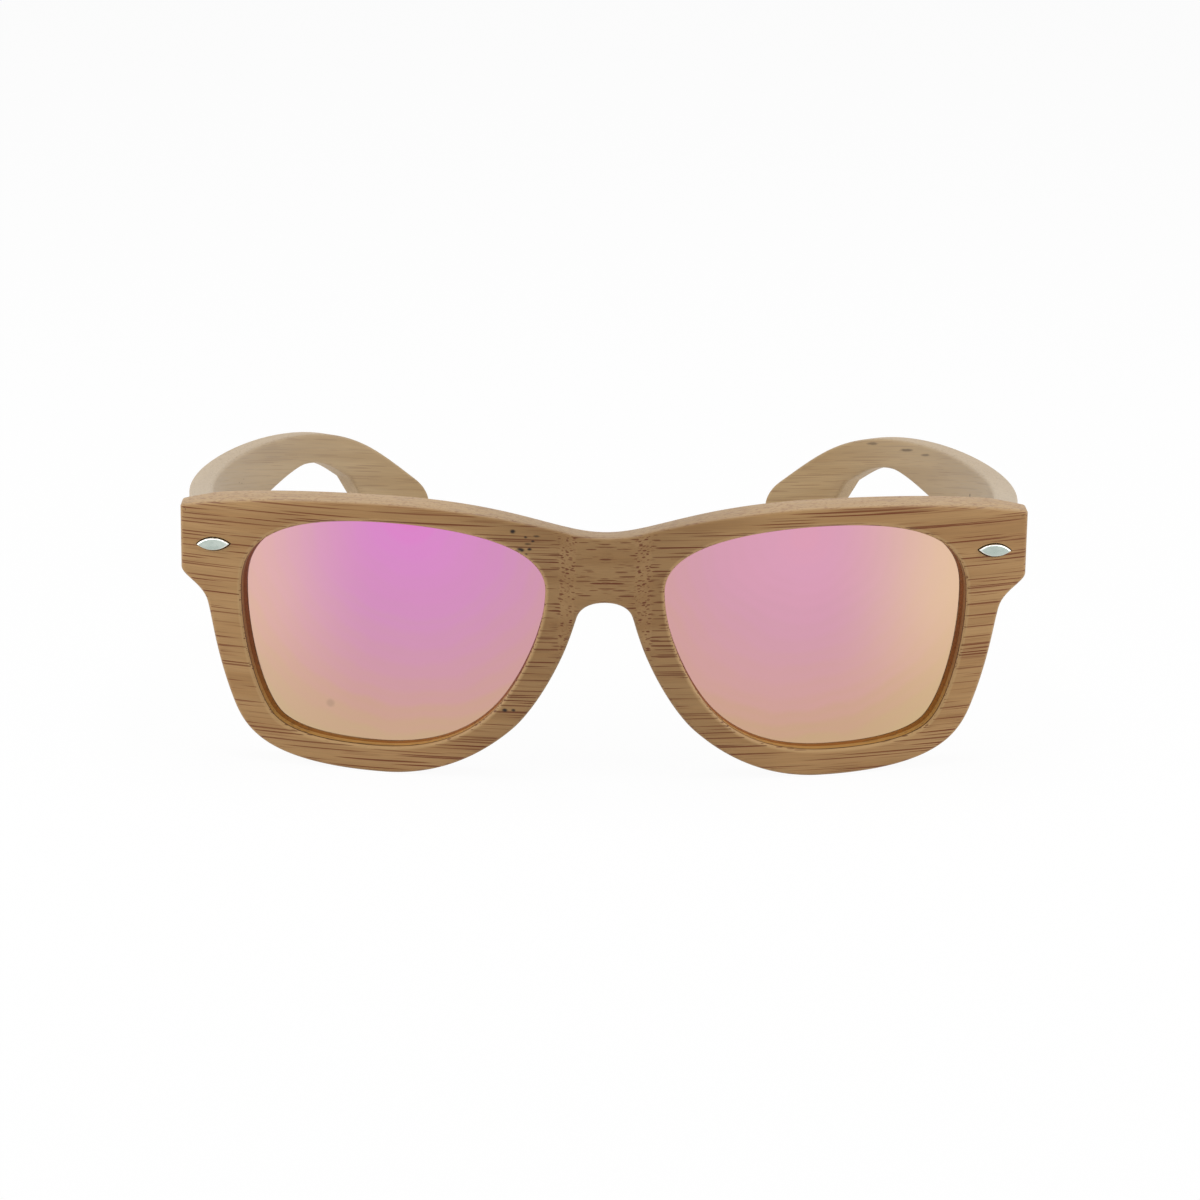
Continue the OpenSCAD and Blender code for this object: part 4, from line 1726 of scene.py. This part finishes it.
@dataclass
class Temples:
    """The bowed bamboo temples with their ear hooks. Sizes are in millimetres, and angles in degrees.

    The grids for the fill of a face are a start, an end and a pitch.
    """

    front: Front
    thickness: float = 4.2
    height: float = 11.2
    waist: float = 10.9
    waist_at: float = 60.0
    slope: float = 6.6
    peak: float = 20.0
    bow: float = 118.0
    swell: float = 0.2
    hook_turn: float = 40.4
    top: float = 45.0
    tip_drop: float = 33.62
    butt_gap: float = 0.2
    butt_clear: float = 0.3
    edge_round: float = 0.6
    face_strip: float = 0.4
    under_bend: float = 9.0
    hook_from: float = -60.0
    hook_blend: float = 25.0
    # how far from the butt each temple's painted sheen reaches
    right_bare: float = 115.0
    left_bare: float = 98.0
    right_grain: float = 300.0
    left_grain: float = 520.0
    grain_fall: float = 0.14
    pocket_depth: float = 0.95
    knuckle_below: float = 2.9
    knuckle_above: float = 3.5
    housing_half: float = 2.15
    housing_slack: float = 0.05
    relief_inside: float = 0.6
    relief_back: float = 0.57
    relief_half: float = 4.0
    cutter_out: float = 3.0
    cutter_ahead: float = 1.0
    grid_along: Corner = (-19.4, 104.0, 1.9)
    grid_up: Corner = (-33.0, 0.0, 1.7)

    def __post_init__(self) -> None:
        """Works out the values that follow from the sizes."""
        self.lean = math.radians(self.slope)
        self.turn = math.radians(self.hook_turn)
        self.taper = (self.height - self.waist) / self.waist_at
        self.butt = self.front.seat + self.butt_gap - self.front.middle
        self.bow_middle = self.front.half + self.swell - self.bow

    def foot(self, along: Points) -> Points:
        """Height of the shank's lower edge at a distance along the outer face from its widest point."""
        return self.taper * (self.peak + self.bow * np.sin(along / self.bow)) - self.height

    def along_at(self, back: float) -> float:
        """Distance along the outer face, from its widest point, at a distance behind the butt."""
        return self.bow * math.asin((back - self.peak) / self.bow)

    def outline(self) -> tuple[Points, np.ndarray, np.ndarray]:
        """The side outline on the outer face.

        Returns:
            Points along and up, the hook's own coordinate, and how far each point follows it.
        """
        spacing, hook_spacing, bend_steps = 0.9, 0.7, 22
        nodes = [
            (-96, 0.1, -1.6, 0, 43),
            (-5.4, -5.35, -25.7, 21.5, 5),
            (7.5, -13.2, -34, 5, 2.4),
            (11.3, -19.1, -93, 2.6, 4),
            (6, -self.tip_drop, -178, 4.2, 3.6),
            (-10.6, -11.3, 153, 11, 5),
            (-26.4, -6, 180, 7.4, 5.2),
            (-60, -self.waist - 0.8, 180, 14, 0),
        ]
        hook = curve_points(nodes, False, hook_spacing)
        along = self.bow * (self.turn + np.arcsin(hook[:, 0] / self.bow))
        tail = np.arange(len(hook)) > np.argmin(hook[:, 1])
        free = np.where(tail, hook[:, 1] > self.foot(along), along > self.along_at(self.butt_clear))
        hook, along = hook[free], along[free]
        start = (self.along_at(self.height * math.tan(self.lean)), -self.height)
        top = float(hook[0, 1])
        butt_top = (self.along_at(0.0), top)
        upper = straight_points(butt_top, (along[0], top), spacing)
        corner = np.array([along[-1], float(self.foot(along[-1:])[0])])
        lower = straight_points(corner, start, spacing)[1:]
        lower[:, 1] = self.foot(lower[:, 0])
        run = np.stack([along, hook[:, 1]], 1)
        ahead = np.arange(len(run)) < len(run) // 2
        kept = ahead | (np.linalg.norm(run - corner, axis=1) > self.under_bend)
        run, hook = run[kept], hook[kept]
        lower = lower[np.linalg.norm(lower - corner, axis=1) > self.under_bend]
        t = np.linspace(0, 1, bend_steps)[1:-1, None]
        bend = (1 - t) ** 2 * run[-1] + 2 * t * (1 - t) * corner + t**2 * lower[0]
        loop = np.concatenate([upper, run, bend, lower, straight_points(start, butt_top, spacing)])
        across, follow = np.zeros(len(loop)), np.zeros(len(loop))
        on_hook = slice(len(upper), len(upper) + len(run))
        on_bend = slice(on_hook.stop, on_hook.stop + len(bend))
        across[on_hook] = hook[:, 0]
        follow[on_hook] = np.clip((hook[:, 0] - self.hook_from) / self.hook_blend, 0, 1)
        across[on_bend] = hook[-1, 0]
        follow[on_bend] = follow[on_hook][-1] * (1 - t[:, 0])
        return loop, across, follow

    def raised(self, flat: Points, depth: float, side: Side) -> Points:
        """Puts side points on the bowed board.

        Args:
            flat: Points along and up.
            depth: Depth behind the outer face.
            side: Which temple.

        Returns:
            Points in the frame of the part.
        """
        turn, up = flat[:, 0] / self.bow, flat[:, 1]
        radius = self.bow - depth
        x = self.bow_middle + radius * np.cos(turn)
        back = self.peak + radius * np.sin(turn)
        c, s = math.cos(self.lean), math.sin(self.lean)
        return np.stack([side.value * x, self.butt + back * c + up * s, self.top - back * s + up * c], 1)

    def grain(self, points: Points, side: Side) -> Points:
        """Grain coordinates of points on a board: along from its widest point, depth and up.

        Args:
            points: Points in the frame of the part.
            side: Which temple.

        Returns:
            Rows of along, depth behind the outer face, and up.
        """
        y, z = points[:, 1] - self.butt, points[:, 2] - self.top
        c, s = math.cos(self.lean), math.sin(self.lean)
        back, up = y * c - z * s, y * s + z * c
        across, ahead = points[:, 0] * side.value - self.bow_middle, back - self.peak
        along = self.bow * np.arctan2(ahead, across)
        return np.stack([along, self.bow - np.hypot(across, ahead), up + self.grain_fall * along], 1)

    def blank(self, side: Side) -> Mesh:
        """Builds a temple without its hinge pocket.

        Args:
            side: Which temple.

        Returns:
            A closed mesh.
        """
        shape = PieceMesh()
        outer, across, follow = self.outline()
        strip = self.edge_round + self.face_strip

        def loop_at(depth: float, by: float) -> Points:
            """The outline at a depth, with its hook and its butt kept square.

            Args:
                depth: Depth behind the outer face.
                by: How far the outline is moved in.

            Returns:
                Points along and up.
            """
            shift = np.arcsin(across / (self.bow - depth)) - np.arcsin(across / self.bow)
            ahead = np.minimum(outer[:, 0], 0) / self.bow
            square = np.arcsin(np.sin(ahead) * self.bow / (self.bow - depth)) - ahead
            loop = outer.copy()
            loop[:, 0] += self.bow * (follow * shift + square)
            return inset(loop, by)

        steps = [(strip, 0.0), *round_levels(self.edge_round, 4)]
        steps += [(by, self.thickness - depth) for by, depth in reversed(steps)]
        rings = [shape.ring(self.raised(loop_at(depth, by), depth, side)) for by, depth in steps]
        shape.chain(rings)
        columns, rows = np.arange(*self.grid_along), np.arange(*self.grid_up)
        grid = np.array([(along, up) for along in columns for up in rows])
        for ring, depth in ((rings[0], 0.0), (rings[-1], self.thickness)):
            loops = [(ring, loop_at(depth, strip))]
            shape.fill(loops, grid, lambda flat, depth=depth: self.raised(flat, depth, side))
        return shape.mesh(f"{side.word}_temple_blank")

    def pockets(self, side: Side) -> list[Mesh]:
        """Cutters for the knuckles' relief, the spring housing and the hinge plate's relief.

        Args:
            side: Which temple.

        Returns:
            Closed meshes.
        """
        inner = self.front.half - self.thickness
        out, ahead, deep = inner - self.cutter_out, self.butt - self.cutter_ahead, inner + self.pocket_depth
        house, up, half = self.butt + HINGE.housing_back, HINGE.up, self.housing_half
        house_start = house - self.housing_slack
        house_end = house + HINGE.housing_length + self.housing_slack
        relief_end = (inner - self.relief_inside, self.butt + self.relief_back, up + self.relief_half)
        blocks = [
            ((out, ahead, up - self.knuckle_below), (deep, house, up + self.knuckle_above)),
            ((out, house_start, up - half), (deep, house_end, up + half)),
            ((out, ahead, up - self.relief_half), relief_end),
        ]
        found = []
        for number, (low, high) in enumerate(blocks):
            block = box_mesh(low, high, f"{side.word}_hinge_pocket_{number}")
            if side is Side.RIGHT:
                block.transform(Matrix.Scale(-1, 4, Vector((1, 0, 0))))
                block.flip_normals()
            found.append(block)
        return found

    def build(self, groups: Groups) -> None:
        """Builds and dresses both temples, each with a grain of its own.

        Args:
            groups: The shared shader groups.
        """
        least_top_sheen, top_sheen_steepness = 0.15, 2
        material = TEMPLE_BAMBOO.material(groups)
        for side, grain_start, sheen_reach in (
            (Side.LEFT, self.left_grain, self.left_bare),
            (Side.RIGHT, self.right_grain, self.right_bare),
        ):
            mesh = cut(self.blank(side), self.pockets(side))
            grain = self.grain(vectors(mesh.vertices, "co") / MM, side)
            store(mesh, "grain", grain + np.array([grain_start, 0.0, 0.0]))
            edge = wall_mask(np.minimum(grain[:, 1], self.thickness - grain[:, 1]))
            # painted sheen: the edges pale most where they face up, as if lit from above
            upward = vectors(mesh.vertex_normals, "vector")[:, 2]
            store(mesh, "edge", edge * np.clip(upward * top_sheen_steepness, least_top_sheen, 1))
            # painted sheen: paler towards the butt
            store(mesh, "bare", np.clip(1 - (grain[:, 0] - self.along_at(0.0)) / sheen_reach, 0, 1))
            smooth(mesh, WOOD_CREASE_ANGLE)
            body = f"{side.word}_temple"
            finished(f"{side.word}_bamboo_temple", mesh, material, body, [body])


@dataclass
class ScrewSize:
    """Sizes of a slotted screw, in millimetres."""

    head_radius: float
    head_height: float
    shank_radius: float
    shank_length: float
    slot_width: float = 0.25
    slot_depth: float = 0.2


PLATE_SCREW = ScrewSize(0.85, 0.36, 0.45, 3.0)
PIVOT_SCREW = ScrewSize(1.15, 0.58, 0.6, 5.4, slot_depth=0.3)
HOUSING_SCREW = ScrewSize(0.9, 0.44, 0.5, 5.0)


@dataclass
class Hinges:
    """The sprung hinges with their springs and screws. Sizes are in millimetres, and angles in degrees.

    The pivot spins turn the slots of the pivot screws, in radians.
    """

    front: Front
    temples: Temples
    edge: float = 0.09
    spring_radius: float = 0.78
    spring_wire: float = 0.14
    spring_turns: float = 5.0
    spring_sides: int = 24
    wire_sides: int = 10
    screw_sides: int = 40
    crease_angle: float = 40.0
    spring_angle: float = 60.0
    screw_angle: float = 35.0
    plate_screw_in: float = 1.3
    plate_screw_up: float = 2.3
    plate_screw_sink: float = 0.03
    pivot_top: float = 3.1
    pivot_spins: tuple[float, float] = (0.4, 1.1)
    housing_sink: float = 0.9
    housing_deep: float = 3.2
    housing_screw_sink: float = 0.02
    housing_screws_from_end: tuple[float, float] = (1.8, 5.0)

    def screws(self, name: str, size: ScrewSize, host: Mesh, material: Material) -> Mesh:
        """Slotted screws on points, heads along each point's own Z.

        Args:
            name: The new mesh's name.
            size: The screw's sizes.
            host: Points to place them on.
            material: Their material.

        Returns:
            A plain mesh.
        """
        rim_share, crown_share, crown_top = 0.7, 0.3, 0.82
        slot_reach, both_sides = 3.0, 2.0
        sizes = {key.replace("_", " ").capitalize(): value * MM for key, value in asdict(size).items()}
        tree = GeometryTree(f"{name}_tree", sizes)
        g, given = tree.graph, tree.given
        head_radius, shank_length = given["Head radius"], given["Shank length"]

        def turned(kind: str, middle: Socket, **values: object) -> Socket:
            """A round part about Z, with its middle at a height."""
            made = g.set(g.add(kind), Vertices=self.screw_sides, **values)
            return tree.moved(made.outputs["Mesh"], g.combine(0.0, 0.0, middle))

        rim, crown = (g.times(given["Head height"], share) for share in (rim_share, crown_share))
        low = g.math("SUBTRACT", g.times(rim, -0.5), crown)
        head = turned("GeometryNodeMeshCylinder", low, Radius=head_radius, Depth=rim)
        cap = turned(
            "GeometryNodeMeshCone",
            g.times(crown, -1.0),
            Radius_Top=g.times(head_radius, crown_top),
            Radius_Bottom=head_radius,
            Depth=crown,
        )
        middle = g.math("SUBTRACT", g.times(shank_length, -0.5), crown)
        radius = given["Shank radius"]
        shank = turned("GeometryNodeMeshCylinder", middle, Radius=radius, Depth=shank_length)
        whole = g.add("GeometryNodeMeshBoolean", operation="UNION", solver="EXACT")
        for part in (head, cap, shank):
            g.feed(whole.inputs["Mesh 2"], part)
        length, deep = g.times(head_radius, slot_reach), g.times(given["Slot depth"], both_sides)
        slot_size = g.combine(length, given["Slot width"], deep)
        slot = g.set(g.add("GeometryNodeMeshCube"), Size=slot_size).outputs["Mesh"]
        slotted = g.add("GeometryNodeMeshBoolean", operation="DIFFERENCE", solver="EXACT")
        g.set(slotted, Mesh_1=whole.outputs[0], Mesh_2=slot)
        mesh = tree.run(tree.on_points(slotted.outputs[0]), material, host, name)
        smooth(mesh, self.screw_angle)
        return mesh

    def spring(self, side: Side, low: Vector, high: Vector, material: Material) -> Mesh:
        """One coil spring along its rod.

        Args:
            side: Which hinge.
            low: Lowest corner of the spring's box.
            high: Highest corner.
            material: The spring's material.

        Returns:
            A plain mesh in place.
        """
        wire = self.spring_wire * MM
        sizes = {
            "Coil radius": self.spring_radius * MM,
            "Wire radius": wire,
            "Turns": self.spring_turns,
            "Length": high.y - low.y - 2 * wire,
        }
        tree = GeometryTree(f"{side.word}_spring_tree", sizes)
        g, given = tree.graph, tree.given
        coil = g.set(
            g.add("GeometryNodeCurveSpiral"),
            Resolution=self.spring_sides,
            Rotations=given["Turns"],
            Start_Radius=given["Coil radius"],
            End_Radius=given["Coil radius"],
            Height=given["Length"],
        )
        section = g.add("GeometryNodeCurvePrimitiveCircle")
        g.set(section, Resolution=self.wire_sides, Radius=given["Wire radius"])
        swept = g.set(
            g.add("GeometryNodeCurveToMesh"),
            Curve=coil.outputs[0],
            Profile_Curve=section.outputs[0],
            Fill_Caps=True,
        )
        host = bpy.data.meshes.new("spring_host")
        mesh = tree.run(swept.outputs[0], material, host, f"{side.word}_coil")
        x = side.value * (self.front.half - HINGE.pivot_in) * MM
        start = Vector((x, low.y + wire, HINGE.up * MM))
        mesh.transform(Matrix.Translation(start) @ Matrix.Rotation(-QUARTER, 4, "X"))
        smooth(mesh, self.spring_angle)
        return mesh

    def build(self, frame: dict, groups: Groups) -> None:
        """Builds and dresses both hinges.

        Args:
            frame: The loaded frame.
            groups: The shared shader groups.
        """
        steel = HINGE_STEEL.material(groups)
        screw = SCREW_STEEL.material(groups)
        wire = SPRING_STEEL.material(groups)
        for side in Side:
            carriage, temple = f"{side.word}_carriage", f"{side.word}_temple"
            for part, body in (
                ("front_plate", "front"),
                ("carriage", carriage),
                ("stop_collar", carriage),
                ("housing", temple),
            ):
                node = f"{side.word}_{part}"
                mesh = softened(frame["nodes"][node], self.edge, f"{node}_soft")
                smooth(mesh, self.crease_angle)
                finished(f"steel_{node}", mesh, steel, body, [node])
            node = f"{side.word}_spring"
            low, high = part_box(node)
            coil = self.spring(side, low, high, wire)
            piece = finished(f"{side.word}_coil_spring", coil, wire, None, [node])
            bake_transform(piece)
        self.build_front_screws(screw)
        self.build_housing_screws(screw)

    def build_front_screws(self, screw: Material) -> None:
        """Places the plate and pivot screws.

        Args:
            screw: The screws' material.
        """
        plate_x, plate_y, turn = self.front.plate_place()
        c, s = math.cos(turn), math.sin(turn)
        x = plate_x - self.plate_screw_in * c + self.plate_screw_sink * s
        y = plate_y - self.plate_screw_in * s - self.plate_screw_sink * c
        rows = [(side.value, up) for side in Side for up in (-self.plate_screw_up, self.plate_screw_up)]
        spots = [(sign * x, y, HINGE.up + up) for sign, up in rows]
        host = point_mesh("plate_points", spots, [(-QUARTER, 0.0, sign * turn) for sign, _ in rows])
        mesh = self.screws("plate_screw_heads", PLATE_SCREW, host, screw)
        nodes = ["left_plate_screws", "right_plate_screws"]
        finished("steel_plate_screws", mesh, screw, "front", nodes)
        x, y = self.front.half - HINGE.pivot_in, self.temples.butt + HINGE.pivot_back
        spots = [(side.value * x, y, HINGE.up + self.pivot_top) for side in Side]
        host = point_mesh("pivot_points", spots, [(0.0, 0.0, spin) for spin in self.pivot_spins])
        mesh = self.screws("pivot_screw_heads", PIVOT_SCREW, host, screw)
        nodes = ["left_pivot_screw", "right_pivot_screw"]
        finished("steel_pivot_screws", mesh, screw, "front", nodes)

    def build_housing_screws(self, screw: Material) -> None:
        """Places the housing screws.

        Args:
            screw: The screws' material.
        """
        x = self.front.half - self.temples.thickness + self.housing_sink - self.housing_deep
        x += self.housing_screw_sink
        end = self.temples.butt + HINGE.housing_back + HINGE.housing_length
        for side in Side:
            spots = [(side.value * x, end - back, HINGE.up) for back in self.housing_screws_from_end]
            turns = [(0.0, -side.value * QUARTER, 0.0) for _ in spots]
            host = point_mesh(f"{side.word}_housing_points", spots, turns)
            mesh = self.screws(f"{side.word}_housing_heads", HOUSING_SCREW, host, screw)
            node = f"{side.word}_housing_screws"
            finished(f"steel_{node}", mesh, screw, f"{side.word}_temple", [node])


@dataclass
class Studio:
    """Camera, floor, world and lamps. Lengths are in metres, angles in degrees, the target in millimetres.

    Each lamp has a name, a place, a width and a power in watts.
    """

    front: Front
    distance: float = 0.590
    elevation: float = 18.0
    yaw: float = 0.8
    roll: float = 0.7
    target: tuple[float, float] = (-0.83, 32.6)
    pixels_each_mm: float = 5.95
    picture: int = 1200
    sensor: float = 36.0
    clip: tuple[float, float] = (0.01, 20.0)
    sky: float = 0.29
    floor_half: float = 4.0
    floor_glow: float = 0.95
    paper: tuple[float, float, float, float] = (0.9, 0.9, 0.9, 1.0)
    white: tuple[float, float, float, float] = (1.0, 1.0, 1.0, 1.0)
    aim: Corner = (0.0, 0.0, 0.03)
    lamps: tuple[tuple[str, Corner, float, float], ...] = (
        ("left_box", (-0.46, -0.16, 0.26), 0.36, 1.3),
        ("right_box", (0.46, -0.16, 0.26), 0.36, 1.3),
        ("top_box", (0.0, 0.05, 0.8), 0.6, 3.0),
    )

    def camera(self) -> None:
        """Places the camera where the photograph was taken from, aimed at the front."""
        e, y, r = (math.radians(a) for a in (self.elevation, self.yaw, self.roll))
        ahead = Vector((math.sin(y) * math.cos(e), math.cos(y) * math.cos(e), -math.sin(e)))
        right = ahead.cross(Vector((0, 0, 1))).normalized()
        up = right.cross(ahead).normalized()
        across = math.cos(r) * right + math.sin(r) * up
        upright = -math.sin(r) * right + math.cos(r) * up
        data = bpy.data.cameras.new("camera")
        data.sensor_width = self.sensor
        data.lens = self.sensor * self.pixels_each_mm * self.distance / MM / self.picture
        data.clip_start, data.clip_end = self.clip
        made = bpy.data.objects.new("camera", data)
        turn = Matrix((across, upright, -ahead)).transposed().to_4x4()
        target = Vector((self.target[0], -self.front.middle, self.target[1])) * MM
        made.matrix_world = Matrix.Translation(target - ahead * self.distance) @ turn
        bpy.context.scene.collection.objects.link(made)
        bpy.context.scene.camera = made

    @staticmethod
    def seen_rays(g: Graph) -> Socket:
        """Tells the rays that show the background: camera, glossy and transmission rays.

        Args:
            g: The graph of a material or of the world.

        Returns:
            One for those rays, and zero for the rest.
        """
        path = g.add("ShaderNodeLightPath").outputs
        seen = g.math("MAXIMUM", path["Is Camera Ray"], path["Is Glossy Ray"])
        return g.math("MAXIMUM", seen, path["Is Transmission Ray"])

    def floor(self) -> None:
        """Lays a wide pale floor that keeps the object's shadow."""
        mesh = bpy.data.meshes.new("floor")
        far = self.floor_half
        corners = [(-far, -far, 0), (far, -far, 0), (far, far, 0), (-far, far, 0)]
        mesh.from_pydata(corners, [], [(0, 1, 2, 3)])
        material = bpy.data.materials.new("floor_paper")
        material.use_nodes = True
        g = Graph(material.node_tree)
        paper = g.set(g.add("ShaderNodeBsdfDiffuse"), Color=self.paper).outputs[0]
        glow = g.set(g.add("ShaderNodeEmission"), Color=self.white).outputs[0]
        both = g.add("ShaderNodeMixShader", g.times(self.seen_rays(g), self.floor_glow), paper, glow)
        g.add("ShaderNodeOutputMaterial", both.outputs[0])
        mesh.materials.append(material)
        made = plain_object("floor", mesh)

    def world(self) -> None:
        """Sets a white surround that is dimmer as a light than as a background."""
        world = bpy.data.worlds.new("studio")
        world.use_nodes = True
        g = Graph(world.node_tree)
        strength = g.math("MULTIPLY_ADD", self.seen_rays(g), 1.0 - self.sky, self.sky)
        back = g.set(g.add("ShaderNodeBackground"), Color=self.white, Strength=strength)
        g.add("ShaderNodeOutputWorld", back.outputs[0])
        bpy.context.scene.world = world

    def lamp(self, name: str, place: Corner, size: float, power: float) -> None:
        """Adds a soft square lamp aimed at the object.

        Args:
            name: The lamp's name.
            place: Where it hangs.
            size: Its width.
            power: Its power in watts.
        """
        data = bpy.data.lights.new(name, "AREA")
        data.size, data.energy = size, power
        made = bpy.data.objects.new(name, data)
        made.location = place
        made.rotation_mode = "QUATERNION"
        made.rotation_quaternion = (Vector(self.aim) - Vector(place)).to_track_quat("-Z", "Y")
        bpy.context.scene.collection.objects.link(made)

    def build(self) -> None:
        """Sets up the whole studio."""
        self.camera()
        self.floor()
        self.world()
        for row in self.lamps:
            self.lamp(*row)
        bpy.context.scene.view_settings.view_transform = "Standard"


def main() -> None:
    """Loads the frame, builds each sub-assembly in order and sets up the studio."""
    logging.basicConfig(level=logging.INFO, format="%(message)s")
    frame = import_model()
    groups = Groups()
    front = Front()
    temples = Temples(front)
    front.build(groups)
    Lenses(front).build(groups)
    Rivets(front).build(groups)
    temples.build(groups)
    Hinges(front, temples).build(frame, groups)
    Studio(front).build()


if __name__ == "__main__":
    main()
